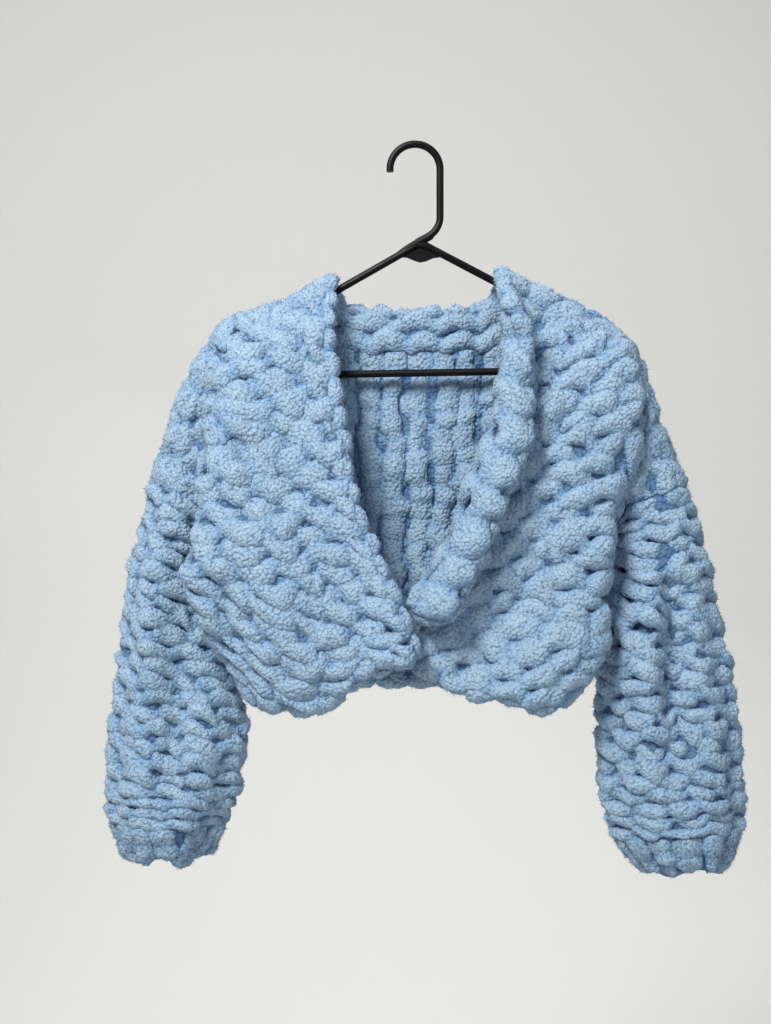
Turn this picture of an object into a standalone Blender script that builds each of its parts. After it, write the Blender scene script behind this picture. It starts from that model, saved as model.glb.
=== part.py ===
"""A cropped, chunky-knit bolero hanging open on a moulded tubular hanger.

The cloth is one skin, drawn as the middle of a thick knitted wall and cut into the
pieces a knitter would make: a back and two fronts with dropped-shoulder wings, two
sleeves, two cuffs and a shawl collar that turns out into a lapel on one side.
Left and right are as seen from the front. Sizes are in millimetres, X to the right,
-Y towards the viewer and Z up, with the origin under the top of the hook.
"""

import math

import bmesh
import bpy
import numpy as np
from mathutils import Vector

MM = 0.001

# Cloth
WALL = 16.0  # thickness of the knitted wall
SEAM_GAP = 0.3  # clearance between two pieces at a seam
EDGE_ROUND = 6.0  # how far a free edge bulges past the last stitch

# Hanger
HOOK_RADIUS = 25.0
HOOK_WIRE = 7.5
FRAME_WIRE = 7.5
FRAME_HALF = 196.0  # half the hanger's width
FRAME_X = 5.6  # the frame's middle stands a little to the right of the hook's
APEX_Z = -95.0
BAR_Z = -225.0
ARM_SLOPE = math.radians(28.7)
FRAME_TILT = math.radians(1.0)  # the frame hangs a little low on the left
SHANK_END_Z = -69.0
SHANK_BEND = 22.0
WEB_THICK = 3.0
WEB_OUTLINE = [
    # x and z from the apex, round the web's edge: two straight sides under the arms, then the wave
    (-30, -17),
    (0, -1),
    (30, -17),
    (20, -14.5),
    (12, -15.5),
    (5, -18.5),
    (-1, -19.5),
    (-7, -17.5),
    (-14, -14.5),
    (-22, -14),
]
ARC_STEPS = 6

# Where the cloth bears on the hanger it is pressed thin
PRESSED_WALL = 11.0
PRESS_REACH = 26.0
RIDGE = FRAME_WIRE / 2 + PRESSED_WALL / 2 + 3.0  # from the wire's axis to the cloth's middle

# Knitted rows and columns of the skin
BODY_ROWS = 21
ARMHOLE_ROWS = 8
BODY_COLUMNS = 13  # from a front's inner edge to its armhole and side seam
NECK_SHARES = [0, 0.04, 0.1, 0.19, 0.29, 0.4, 0.5, 0.6, 0.71, 0.81, 0.9, 0.96, 1]  # columns of the neck
COLLAR_COLUMNS = 8
# Two half rows round the wall over the shoulder and under the arm
ROW_LEVELS = sorted([0.5, ARMHOLE_ROWS - 0.5] + list(range(BODY_ROWS + 1)))
ARM_LEVELS = [r for r in ROW_LEVELS if r <= ARMHOLE_ROWS]

# Each front is drawn through guide lines that run from the shoulder to the hem.
# level is the share of the way down; x, y and z are where the line passes.
LEFT_EDGE = [
    # level, x, y, z: where the collar is joined on
    (0.00, -133, 0, -160),
    (0.10, -132, -28, -193),
    (0.25, -124, -42, -252),
    (0.40, -114, -52, -312),
    (0.55, -101, -60, -370),
    (0.70, -79, -68, -428),
    (0.85, -57, -74, -480),
    (1.00, -46, -72, -516),
]
LEFT_BELLY = [
    # level, x, y, z: the fullest line of the front
    (0.00, -162, 0, -169),
    (0.10, -166, -30, -204),
    (0.25, -164, -50, -264),
    (0.40, -154, -62, -325),
    (0.55, -146, -74, -384),
    (0.70, -132, -80, -442),
    (0.85, -118, -80, -502),
    (1.00, -113, -66, -552),
]
LEFT_FOLD = [
    # level, x, y, z: the front's outermost line, where it folds back to the side
    (0.00, -188, 0, -182),
    (0.10, -195, -26, -213),
    (0.25, -197, -40, -268),
    (0.40, -201, -54, -328),
    (0.55, -212, -60, -388),
    (0.70, -214, -62, -436),
    (0.85, -192, -54, -486),
    (1.00, -162, -42, -530),
]
LEFT_TIP = [
    # level, x, y, z: round the end of the hanger's arm
    (0.00, -206, 0, -208),
    (0.05, -206, -13, -212),
    (0.10, -205, -22, -227),
    (0.20, -203, -28, -264),
    (0.30, -202, -34, -300),
    (0.381, -201, -37, -334),
]
LEFT_WING = [
    # level, x, y, z: half way down the dropped shoulder
    (0.00, -235, 0, -270),
    (0.05, -232, -13, -273),
    (0.10, -228, -18, -279),
    (0.20, -217, -20, -297),
    (0.30, -205, -19, -320),
    (0.381, -198, -17, -344),
]
LEFT_SIDE = [
    # level, x, y, z: the side seam, below the underarm
    (0.381, -197, 0, -353),
    (0.47, -174, -6, -370),
    (0.55, -163, -10, -396),
    (0.70, -156, -12, -438),
    (0.85, -156, -8, -486),
    (1.00, -150, -4, -524),
]
RIGHT_EDGE = [
    (0.00, 140, 0, -154),
    (0.10, 113, -28, -184),
    (0.25, 98, -42, -240),
    (0.40, 86, -50, -296),
    (0.55, 69, -54, -352),
    (0.70, 47, -54, -408),
    (0.82, 25, -52, -452),
    (0.90, 8, -47, -486),
    (1.00, -2, -44, -514),
]
RIGHT_BELLY = [
    (0.00, 168, 0, -169),
    (0.10, 166, -31, -203),
    (0.25, 160, -46, -255),
    (0.40, 152, -52, -312),
    (0.55, 142, -56, -368),
    (0.70, 128, -56, -428),
    (0.82, 116, -58, -472),
    (0.90, 107, -62, -510),
    (1.00, 106, -62, -546),
]
RIGHT_FOLD = [
    (0.00, 198, 0, -184),
    (0.10, 208, -26, -207),
    (0.25, 216, -40, -264),
    (0.40, 208, -46, -326),
    (0.55, 184, -48, -384),
    (0.70, 174, -48, -438),
    (0.82, 172, -50, -484),
    (0.90, 162, -52, -514),
    (1.00, 144, -46, -539),
]
RIGHT_TIP = [
    (0.00, 213, 0, -204),
    (0.05, 213, -13, -207),
    (0.10, 213, -20, -221),
    (0.20, 214, -27, -255),
    (0.30, 213, -30, -296),
    (0.381, 208, -30, -334),
]
RIGHT_WING = [
    (0.00, 234, 0, -270),
    (0.05, 233, -14, -272),
    (0.10, 231, -20, -277),
    (0.20, 226, -22, -294),
    (0.30, 216, -20, -320),
    (0.381, 207, -15, -345),
]
RIGHT_SIDE = [
    (0.381, 205, 0, -354),
    (0.47, 182, -6, -370),
    (0.55, 167, -10, -398),
    (0.70, 154, -10, -442),
    (0.82, 148, -8, -482),
    (0.90, 146, -5, -506),
    (1.00, 140, -4, -530),
]
# The back is drawn through three guide lines in the same way
BACK_LEFT = [
    (0.00, -133, 0, -161),
    (0.10, -128, 16, -205),
    (0.24, -120, 18, -282),
    (0.38, -112, 18, -350),
    (0.70, -100, 18, -440),
    (1.00, -96, 14, -531),
]
BACK_MIDDLE = [
    (0.00, 3, 18, -203),
    (0.30, 3, 20, -310),
    (0.60, 4, 22, -402),
    (0.80, 4, 20, -466),
    (1.00, 4, 16, -533),
]
BACK_RIGHT = [
    (0.00, 140, 0, -154),
    (0.10, 134, 16, -200),
    (0.24, 126, 18, -280),
    (0.38, 118, 18, -350),
    (0.70, 104, 18, -440),
    (1.00, 98, 14, -532),
]
NECK_SCOOP = [
    # x, y, z: the back's neck edge, between the two shoulders
    (-133, 0, -161),
    (-130, 12, -167),
    (-123, 17, -179),
    (-88, 18, -196),
    (3, 19, -203),
    (92, 18, -194),
    (129, 17, -173),
    (137, 12, -160),
    (140, 0, -154),
]

# The back's columns slide outwards below the two corners of the neck
CORNER_SLIDE = [
    # column, counted from the side, and how far
    (BODY_COLUMNS - 4, 0),
    (BODY_COLUMNS, 9),
    (BODY_COLUMNS + 1, 10),
    (BODY_COLUMNS + 2, 8),
    (BODY_COLUMNS + 5, 0),
]

# Rings of a sleeve, from the armhole to the cuff's end. outer and inner are the ring's
# two ends as seen from the front; front_out, front_mid and front_in are how far its
# front stands out at three places across, and back is how far its back does.
RING_COLUMNS = "outer_x outer_z inner_x inner_z front_out front_mid front_in back".split()
LEFT_RINGS = [
    (-258, -339, -197, -353, 24, 26, 20, 22),
    (-270, -396, -214, -408, 30, 27, 18, 24),
    (-282, -451, -206, -462, 34, 26, 18, 26),
    (-289, -511, -190, -522, 36, 22, 20, 28),
    (-296, -571, -175, -578, 37, 24, 32, 28),
    (-300, -631, -184, -636, 36, 32, 34, 28),
    (-298, -670, -198, -672, 34, 36, 32, 26),
    (-284, -707, -213, -704, 26, 30, 26, 22),
]
RIGHT_RINGS = [
    (267, -341, 205, -354, 22, 26, 22, 22),
    (281, -396, 217, -408, 24, 26, 28, 24),
    (292, -451, 202, -464, 26, 18, 38, 26),
    (305, -511, 193, -524, 28, 18, 42, 28),
    (315, -571, 190, -582, 32, 26, 42, 28),
    (319, -631, 193, -640, 36, 34, 38, 28),
    (321, -676, 206, -684, 34, 36, 34, 26),
    (308, -714, 232, -719, 26, 30, 26, 22),
]
CUFF_RING = 6  # the row of the table where the cuff starts
RINGS_BETWEEN = 3  # rings of the mesh for each row of the table
FRONT_STATIONS = (0.26, 0.5, 0.74)  # where across the ring the three front depths are
RING_END_RADIUS = 15.0  # a ring's two ends are no sharper than this

# The collar: its free edge on the left front and round the neck
LEFT_FREE_EDGE = [
    # level, x, y, z
    (0.00, -82, 0, -132),
    (0.10, -86, -26, -173),
    (0.25, -79, -40, -238),
    (0.40, -70, -50, -298),
    (0.55, -59, -60, -358),
    (0.70, -35, -68, -416),
    (0.85, -10, -74, -472),
    (1.00, -1, -74, -504),
]
NECK_FREE_EDGE = [
    # share of the neck, x, y, z
    (0.00, -82, 0, -132),
    (0.04, -81, 12, -137),
    (0.12, -78, 17, -150),
    (0.30, -56, 19, -161),
    (0.50, 4, 20, -164),
    (0.70, 62, 19, -160),
    (0.88, 82, 17, -144),
    (0.96, 86, 12, -131),
    (1.00, 88, 0, -126),
]
LAPEL = [
    # level, roll in degrees, width: how the collar turns out down the right front
    (0.00, 0, 57),
    (0.06, 55, 55),
    (0.12, 115, 52),
    (0.20, 165, 47),
    (0.50, 172, 49),
    (0.70, 172, 51),
    (0.87, 166, 52),
]
ROLL_LENGTH = 37.0  # how much of the collar's width is in the roll
LAPEL_ROWS = 18  # the lapel ends at this row

# Soft troughs pressed into the fronts by the way they hang
TROUGHS = [
    # piece, x and z at the top, x and z at the bottom, half width, depth
    ("front_left", -178, -436, -170, -500, 16, 12),
    ("front_left", -150, -300, -118, -350, 22, 6),
    ("front_right", 122, -290, 104, -440, 24, 10),
    ("front_right", 70, -470, 52, -512, 22, 8),
    ("front_right", 196, -300, 186, -350, 16, 7),
]

# The cloth is eased round these two places, under the arms
UNDERARMS = np.array([(-200.0, -8.0, -351.0), (207.0, -8.0, -352.0)])
EASE = 0.6
EASE_REACH = 52.0
EASE_ROUNDS = 16

CLOTH_BLUE = (0.48, 0.66, 0.86, 1.0)
HANGER_BLACK = (0.012, 0.012, 0.014, 1.0)


def clear_scene():
    for old in list(bpy.data.objects):
        bpy.data.objects.remove(old, do_unlink=True)


def material(name, colour, roughness):
    made = bpy.data.materials.new(name)
    made.use_nodes = True
    shader = made.node_tree.nodes["Principled BSDF"]
    shader.inputs["Base Color"].default_value = colour
    shader.inputs["Roughness"].default_value = roughness
    shader.inputs["Metallic"].default_value = 0.0
    return made


def through(table, at):
    """Smooth values at the given levels, from rows of (level, value, value, ...)."""
    rows = np.array(table, float)
    at = np.atleast_1d(np.asarray(at, float))
    level, value = rows[:, 0], rows[:, 1:]
    step = np.diff(level)[:, None]
    slope = np.diff(value, axis=0) / step
    tangent = np.vstack([slope[:1], (slope[1:] + slope[:-1]) / 2, slope[-1:]])
    i = np.clip(np.searchsorted(level, at, side="right") - 1, 0, len(level) - 2)
    h = step[i]
    t = ((at - level[i]) / h[:, 0])[:, None]
    return (
        (2 * t**3 - 3 * t**2 + 1) * value[i]
        + (t**3 - 2 * t**2 + t) * h * tangent[i]
        + (3 * t**2 - 2 * t**3) * value[i + 1]
        + (t**3 - t**2) * h * tangent[i + 1]
    )


def chord_levels(points):
    """How far along each point lies, measured straight from point to point."""
    return np.concatenate([[0], np.cumsum(np.linalg.norm(np.diff(points, axis=0), axis=1))])


def drawn_curve(points, dense=16):
    """A dense smooth curve through a few points."""
    points = np.asarray(points, float)
    levels = chord_levels(points)
    at = np.concatenate([
        np.linspace(a, b, dense, endpoint=False) for a, b in zip(levels[:-1], levels[1:])
    ] + [levels[-1:]])
    return through(np.column_stack([levels, points]), at)


def spread(curve, shares):
    """Points at the given shares of a dense curve's length."""
    along = chord_levels(curve)
    at = np.asarray(shares, float) * along[-1]
    return np.column_stack([np.interp(at, along, curve[:, i]) for i in range(3)])


def ring_half(row, side, shares):
    """One half of a sleeve's ring, front or back, from its outer end to its inner end."""
    ring = dict(zip(RING_COLUMNS, row))
    outer = np.array([ring["outer_x"], 0.0, ring["outer_z"]])
    inner = np.array([ring["inner_x"], 0.0, ring["inner_z"]])
    across = (inner - outer) / np.linalg.norm(inner - outer)
    if side == "front":
        depths = [-ring["front_out"], -ring["front_mid"], -ring["front_in"]]
    else:
        depths = [ring["back"] * share for share in (0.92, 1.0, 0.92)]
    middle = [outer + s * (inner - outer) + (0, d, 0) for s, d in zip(FRONT_STATIONS, depths)]
    near_outer = round_end(outer, across, depths[0])
    near_inner = round_end(inner, -across, depths[2])
    points = [outer, *near_outer, *middle, *near_inner[::-1], inner]
    return spread(drawn_curve(points), shares)


def round_end(end, inward, depth):
    """Two points that round a ring's end: an eighth and a quarter of the way round it."""
    radius = min(abs(depth), RING_END_RADIUS)
    sign = math.copysign(1.0, depth)
    eighth = end + inward * radius * 0.29 + (0, sign * radius * 0.71, 0)
    quarter = end + inward * radius + (0, sign * radius, 0)
    return [eighth, quarter]


def arm_shares():
    return np.array(ARM_LEVELS, float) / ARMHOLE_ROWS


def pressed(points, piece):
    """The points with this piece's troughs pressed in, away from the viewer."""
    points = np.array(points, float)
    for name, x0, z0, x1, z1, half_width, depth in TROUGHS:
        if name != piece:
            continue
        start, way = np.array([x0, z0], float), np.array([x1 - x0, z1 - z0], float)
        flat = points[:, [0, 2]] - start
        along = np.clip(flat @ way / (way @ way), 0, 1)
        away = np.linalg.norm(flat - along[:, None] * way, axis=1) / half_width
        in_front = np.clip((-points[:, 1] - 20) / 25, 0, 1)
        points[:, 1] += depth * np.exp(-(away**2)) * in_front
    return points


def front_rows(piece, edge, belly, fold, tip, wing, side, rings):
    """The front's rows from the shoulder seam to the hem, each from its inner edge outwards."""
    armhole = ring_half(rings[0], "front", arm_shares())
    even = np.linspace(0, 1, BODY_COLUMNS + 1)
    rows = []
    for number, level in enumerate(ROW_LEVELS):
        at = level / BODY_ROWS
        if level <= ARMHOLE_ROWS:
            guides = [through(guide, at)[0] for guide in (edge, belly, fold, tip, wing)]
            curve = drawn_curve([*guides, armhole[number]])
        else:
            guides = [through(guide, at)[0] for guide in (edge, belly, fold, side)]
            curve = drawn_curve(guides)
        row = spread(curve, even)
        row[1:] = pressed(row[1:], piece)
        rows.append(row)
    return rows


def back_rows(left, right):
    """The back's rows from its left side to its right one; the top row is the shoulder seam."""
    under = ARM_LEVELS.index(ARMHOLE_ROWS)
    columns = 2 * BODY_COLUMNS + len(NECK_SHARES) - 1
    scoop = spread(drawn_curve(NECK_SCOOP), NECK_SHARES)
    top = np.vstack([left[0][::-1], scoop[1:-1], right[0]])
    rows = []
    for number in range(len(ROW_LEVELS)):
        level = ROW_LEVELS[number] / BODY_ROWS
        guides = [through(guide, level)[0] for guide in (BACK_LEFT, BACK_MIDDLE, BACK_RIGHT)]
        curve = drawn_curve([left[number][-1], *guides, right[number][-1]])
        rows.append(spread(curve, np.linspace(0, 1, columns + 1)))
    # Down to the underarm the rows run evenly from the shoulder seam to the underarm's row,
    # and the cloth rounds from the ridge to its full depth.
    bottom = rows[under]
    from_end = np.minimum(np.arange(columns + 1), np.arange(columns + 1)[::-1])
    depth = np.interp(from_end, [0, 4, 8], [22, 15, 18])
    gathered = np.interp(from_end, [0, 5], [1, 0])
    outward = np.sign(np.arange(columns + 1) - columns / 2)
    ridged = np.interp(from_end, [BODY_COLUMNS, BODY_COLUMNS + 2], [1, 0])
    ends = [ring_half(rings[0], "back", arm_shares()) for rings in (LEFT_RINGS, RIGHT_RINGS)]
    for number, level in enumerate(ARM_LEVELS[:-1]):
        on_ridge = np.interp(level, [0, 0.5, 1, ARMHOLE_ROWS], [0, 0.022, 0.085, 1])
        share = ridged * on_ridge + (1 - ridged) * level / ARMHOLE_ROWS
        row = top + share[:, None] * (bottom - top)
        slide = np.interp(level, [0, 1, 3, ARMHOLE_ROWS], [0, 1, 0.8, 0])
        row[:, 0] += slide * outward * np.interp(from_end, *zip(*CORNER_SLIDE))
        over = np.interp(level, [0, 0.5, 1, 2], [0, 0.62, 0.95, 1])
        under_arm = np.interp(level, [ARMHOLE_ROWS - k for k in (2, 1, 0.5, 0)], [1, 0.9, 0.65, 0])
        full = depth * (1 - gathered * (1 - under_arm))
        row[:, 1] = top[:, 1] * (1 - over) + full * over
        row[0], row[-1] = ends[0][number], ends[1][number]
        rows[number] = row
    return rows


def sleeve_rings(rings, first, last, seam=None):
    """Rings of a sleeve between two rows of its table, each running out, front, in, back."""
    shares = arm_shares()
    numbers = np.linspace(first, last, (last - first) * RINGS_BETWEEN + 1)
    table = np.column_stack([np.arange(len(rings)), np.array(rings, float)])
    made = []
    for row in through(table, numbers):
        front = ring_half(row, "front", shares)
        back = ring_half(row, "back", shares)
        made.append(np.vstack([front, back[-2:0:-1], front[:1]]))
    if seam is not None:
        made[0] = seam
    return np.array(made)


def lapel_line(root, toward, out, roll, width):
    """Points across the collar: a roll from the root, then straight to the free edge."""
    toward = toward / np.linalg.norm(toward)
    out = out - (out @ toward) * toward
    out = out / np.linalg.norm(out)
    steps = np.linspace(0, width, COLLAR_COLUMNS + 1)
    turn = max(math.radians(roll), 1e-3)
    radius = ROLL_LENGTH / turn
    angle = np.minimum(steps, ROLL_LENGTH) / radius
    straight = np.maximum(steps - ROLL_LENGTH, 0)
    along = radius * np.sin(angle) + straight * math.cos(turn)
    away = radius * (1 - np.cos(angle)) + straight * math.sin(turn)
    return root + along[:, None] * toward + away[:, None] * out


def collar_lines(left, right, back):
    """Lines across the collar, from the left front's corner round the neck to the lapel's end."""
    lines = []
    flat = np.linspace(0, 1, COLLAR_COLUMNS + 1)[:, None]
    for number in range(len(ROW_LEVELS) - 1, 0, -1):
        free = through(LEFT_FREE_EDGE, ROW_LEVELS[number] / BODY_ROWS)[0]
        root = left[number][0]
        lines.append(root + flat * (free - root))
    for number, share in enumerate(NECK_SHARES):
        free = through(NECK_FREE_EDGE, share)[0]
        root = back[0][BODY_COLUMNS + number]
        lines.append(root + flat * (free - root))
    # The lapel's direction turns from the shoulder's slope to straight across the front.
    top = lines[-1][-1] - lines[-1][0]
    for number in range(1, len(ROW_LEVELS)):
        if ROW_LEVELS[number] > LAPEL_ROWS:
            break
        at = ROW_LEVELS[number] / BODY_ROWS
        roll, width = through(LAPEL, at)[0]
        settle = min(at / 0.12, 1.0)
        root = right[number][0]
        across = right[number][0] - right[number][1]
        toward = (1 - settle) * top / np.linalg.norm(top) + settle * across / np.linalg.norm(across)
        lines.append(lapel_line(root, toward, np.array([0.0, -1.0, 0.12]), roll, width))
    return np.array(lines)


class Skin:
    """The middle of the cloth, as patches of each piece, welded where they share points."""

    def __init__(self):
        self.points = []
        self.index = {}
        self.faces = {}

    def point(self, place):
        key = tuple(np.round(place, 3))
        if key not in self.index:
            self.index[key] = len(self.points)
            self.points.append(np.asarray(place, float))
        return self.index[key]

    def add(self, piece, grid, turned=False):
        """Adds a patch of a piece. Its faces look along columns x rows unless it is turned."""
        ids = [[self.point(p) for p in line] for line in grid]
        faces = self.faces.setdefault(piece, [])
        for upper, lower in zip(ids[:-1], ids[1:]):
            for i in range(min(len(upper), len(lower)) - 1):
                face = (upper[i], upper[i + 1], lower[i + 1], lower[i])
                face = face[::-1] if turned else face
                if len(set(face)) == 4:
                    faces.append(face)

    def finish(self):
        """Works out each point's normal and the way out of the cloth at its free edges."""
        self.points = np.array(self.points)
        self.relax([face for faces in self.faces.values() for face in faces])
        self.points, distance = held_off(self.points)
        pressed_by = np.exp(-((np.maximum(distance - RIDGE, 0) / PRESS_REACH) ** 2))
        self.half_wall = (WALL - (WALL - PRESSED_WALL) * pressed_by) / 2
        everything = [face for faces in self.faces.values() for face in faces]
        self.normals = unit(self.summed_normals(everything))
        self.out = self.way_out(everything, lambda edge: True)
        self.owners = {}
        for piece, faces in self.faces.items():
            for face in faces:
                for edge in edges_of(face):
                    self.owners.setdefault(frozenset(edge), set()).add(piece)

    def relax(self, faces):
        """Eases the cloth under each arm, where the folds are tightest."""
        sums, counts = np.zeros_like(self.points), np.zeros(len(self.points))
        edges = np.array(sorted({tuple(sorted(edge)) for face in faces for edge in edges_of(face)}))
        ease = np.zeros(len(self.points))
        for place in UNDERARMS:
            ease += EASE * np.exp(-(np.linalg.norm(self.points - place, axis=1) / EASE_REACH) ** 2)
        np.add.at(counts, edges.ravel(), 1)
        for _ in range(EASE_ROUNDS):
            sums[:] = 0
            np.add.at(sums, edges[:, 0], self.points[edges[:, 1]])
            np.add.at(sums, edges[:, 1], self.points[edges[:, 0]])
            self.points += ease[:, None] * (sums / counts[:, None] - self.points)

    def summed_normals(self, faces):
        total = np.zeros_like(self.points)
        for face in faces:
            a, b, c, d = (self.points[i] for i in face)
            normal = np.cross(c - a, d - b)
            for i in face:
                total[i] += normal
        return total

    def way_out(self, faces, wanted):
        """The way off the cloth at each point on an open edge that is wanted, of length 1 or 0."""
        count = {}
        for face in faces:
            for edge in edges_of(face):
                count.setdefault(frozenset(edge), []).append(edge)
        total = np.zeros_like(self.points)
        for uses in count.values():
            if len(uses) > 1 or not wanted(frozenset(uses[0])):
                continue
            a, b = uses[0]
            outward = np.cross(self.points[b] - self.points[a], self.normals[a] + self.normals[b])
            outward = outward / max(np.linalg.norm(outward), 1e-9)
            total[a] += outward
            total[b] += outward
        return unit(total)

    def solid(self, piece):
        """Points and faces of the piece's closed wall."""
        faces = self.faces[piece]
        inset = self.way_out(faces, lambda edge: len(self.owners[edge]) > 1)
        used = sorted({i for face in faces for i in face})
        place = {i: n for n, i in enumerate(used)}
        n = len(used)
        middle = self.points[used] - inset[used] * (SEAM_GAP / 2)
        lift = self.normals[used] * self.half_wall[used][:, None]
        rim = middle + self.out[used] * EDGE_ROUND
        points = np.vstack([middle + lift, middle - lift, rim])
        made = []
        count = {}
        for face in faces:
            top = [place[i] for i in face]
            made.append(tuple(top))
            made.append(tuple(n + i for i in reversed(top)))
            for edge in edges_of(face):
                count.setdefault(frozenset(edge), []).append(edge)
        for uses in count.values():
            if len(uses) == 1:
                made += rim_faces(*uses[0], place, n)
        return compacted(points, made)


def rim_faces(a, b, place, n):
    """The rim beside one open edge, split the same way whichever piece it belongs to."""
    pa, pb = place[a], place[b]
    outer_a, outer_b, inner_a, inner_b, rim_a, rim_b = pa, pb, n + pa, n + pb, 2 * n + pa, 2 * n + pb
    if a < b:
        return [
            (outer_b, outer_a, rim_b),
            (outer_a, rim_a, rim_b),
            (rim_b, rim_a, inner_b),
            (rim_a, inner_a, inner_b),
        ]
    return [
        (outer_b, outer_a, rim_a),
        (outer_b, rim_a, rim_b),
        (rim_b, rim_a, inner_a),
        (rim_b, inner_a, inner_b),
    ]


def compacted(points, faces):
    """The points that the faces use, and the faces renumbered."""
    used = sorted({i for face in faces for i in face})
    place = {i: n for n, i in enumerate(used)}
    return points[used], [tuple(place[i] for i in face) for face in faces]


def edges_of(face):
    return list(zip(face, face[1:] + face[:1]))


def held_off(points):
    """The cloth's middle with points too near the hanger's frame moved off it, and their distance."""
    corners = [np.array([x, 0, z], float) for x, z in hanger_frame_points()]
    points = np.array(points, float)
    closest = np.full(len(points), np.inf)
    for _ in range(2):
        closest[:] = np.inf
        for start, end in zip(corners, corners[1:] + corners[:1]):
            way = end - start
            along = np.clip((points - start) @ way / (way @ way), 0, 1)
            nearest = start + along[:, None] * way
            away = points - nearest
            distance = np.linalg.norm(away, axis=1)
            near = (distance < RIDGE) & (distance > 1e-6)
            points[near] = nearest[near] + away[near] * (RIDGE / distance[near])[:, None]
            closest = np.minimum(closest, np.maximum(distance, RIDGE))
    return points, closest


def unit(vectors):
    length = np.linalg.norm(vectors, axis=1)[:, None]
    return np.divide(vectors, length, out=np.zeros_like(vectors), where=length > 1e-9)


def scalloped(row, inner, depth, lobes):
    """The last row with its points moved up and down in lobes, as a knitted hem hangs."""
    row = np.array(row, float)
    share = np.linspace(0, 1, len(row))
    lift = depth * np.sin(share * lobes * math.pi * 2 + 0.6) * np.sin(share * math.pi)
    row[:, 2] += lift * inner
    return row


def garment_skin():
    left = front_rows(
        "front_left", LEFT_EDGE, LEFT_BELLY, LEFT_FOLD, LEFT_TIP, LEFT_WING, LEFT_SIDE, LEFT_RINGS
    )
    right = front_rows(
        "front_right", RIGHT_EDGE, RIGHT_BELLY, RIGHT_FOLD, RIGHT_TIP, RIGHT_WING, RIGHT_SIDE, RIGHT_RINGS
    )
    left[-1] = scalloped(left[-1], 1, 5, 2.5)
    right[-1] = scalloped(right[-1], 1, 5, 2.5)
    back = back_rows(left, right)
    for row in range(len(back)):
        if ROW_LEVELS[row] > ARMHOLE_ROWS:
            back[row][0], back[row][-1] = left[row][-1], right[row][-1]
    back[ARM_LEVELS.index(ARMHOLE_ROWS)][0] = left[ARM_LEVELS.index(ARMHOLE_ROWS)][-1]
    back[ARM_LEVELS.index(ARMHOLE_ROWS)][-1] = right[ARM_LEVELS.index(ARMHOLE_ROWS)][-1]
    skin = Skin()
    skin.add("front_left", left)
    skin.add("front_right", right, turned=True)
    skin.add("back", back)
    for name, rings, front, turned in (
        ("left", LEFT_RINGS, left, True),
        ("right", RIGHT_RINGS, right, False),
    ):
        armhole = len(ARM_LEVELS)
        front_end = np.array([row[-1] for row in front[:armhole]])
        column = 0 if name == "left" else -1
        back_end = np.array([row[column] for row in back[:armhole]])
        seam = np.vstack([front_end, back_end[-2:0:-1], front_end[:1]])
        upper = sleeve_rings(rings, 0, CUFF_RING, seam)
        lower = sleeve_rings(rings, CUFF_RING, len(rings) - 1)
        lower[0] = upper[-1]
        around = np.arange(lower.shape[1] - 1) / (lower.shape[1] - 1) * math.pi * 2
        lower[-1][:-1, 2] += 4 * np.sin(around * 5 + 0.4)
        lower[-1][-1] = lower[-1][0]
        skin.add("sleeve_" + name, upper, turned)
        skin.add("cuff_" + name, lower, turned)
    skin.add("collar", collar_lines(left, right, back))
    skin.finish()
    return skin


def add_mesh(name, points, faces, collection, look):
    mesh = bpy.data.meshes.new(name)
    mesh.from_pydata([tuple(p * MM) for p in points], [], faces)
    mesh.validate()
    mesh.materials.append(look)
    mesh.shade_smooth()
    mesh.set_sharp_from_angle(angle=math.radians(50))
    made = bpy.data.objects.new(name, mesh)
    collection.objects.link(made)
    return made


def rounded_corners(corners, radius, steps=6, closed=True):
    """A polygon in the hanger's plane with each corner turned into an arc."""
    corners = [np.array(c, float) for c in corners]
    points = []
    count = len(corners)
    for i, corner in enumerate(corners):
        if not closed and i in (0, count - 1):
            points.append(corner)
            continue
        before = corners[i - 1] - corner
        after = corners[(i + 1) % count] - corner
        before, after = before / np.linalg.norm(before), after / np.linalg.norm(after)
        half = math.acos(np.clip(before @ after, -1, 1)) / 2
        reach = radius / math.tan(half)
        bisector = (before + after) / np.linalg.norm(before + after)
        centre = corner + bisector * radius / math.sin(half)
        start, end = corner + before * reach - centre, corner + after * reach - centre
        sweep = math.acos(np.clip(start @ end / radius**2, -1, 1))
        for share in np.linspace(0, 1, steps + 1):
            weight_a = math.sin((1 - share) * sweep) / math.sin(sweep)
            weight_b = math.sin(share * sweep) / math.sin(sweep)
            points.append(centre + weight_a * start + weight_b * end)
    return points


def tube(name, flat_points, diameter, cyclic):
    """A wire in the hanger's plane, as a curve with a round bevel, then made a mesh."""
    curve = bpy.data.curves.new(name, "CURVE")
    curve.dimensions = "3D"
    curve.bevel_depth = diameter / 2 * MM
    curve.bevel_resolution = 3
    curve.use_fill_caps = not cyclic
    spline = curve.splines.new("POLY")
    spline.points.add(len(flat_points) - 1)
    for target, (x, z) in zip(spline.points, flat_points):
        target.co = (x * MM, 0, z * MM, 1)
    spline.use_cyclic_u = cyclic
    made = bpy.data.objects.new(name, curve)
    bpy.context.scene.collection.objects.link(made)
    bpy.context.view_layer.update()
    evaluated = made.evaluated_get(bpy.context.evaluated_depsgraph_get())
    mesh = bpy.data.meshes.new_from_object(evaluated)
    solid = bpy.data.objects.new(name + "_solid", mesh)
    solid.matrix_world = made.matrix_world
    bpy.data.objects.remove(made)
    work = bmesh.new()
    work.from_mesh(mesh)
    bmesh.ops.remove_doubles(work, verts=work.verts, dist=0.00001)
    bmesh.ops.recalc_face_normals(work, faces=work.faces)
    work.to_mesh(mesh)
    work.free()
    return solid


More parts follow.
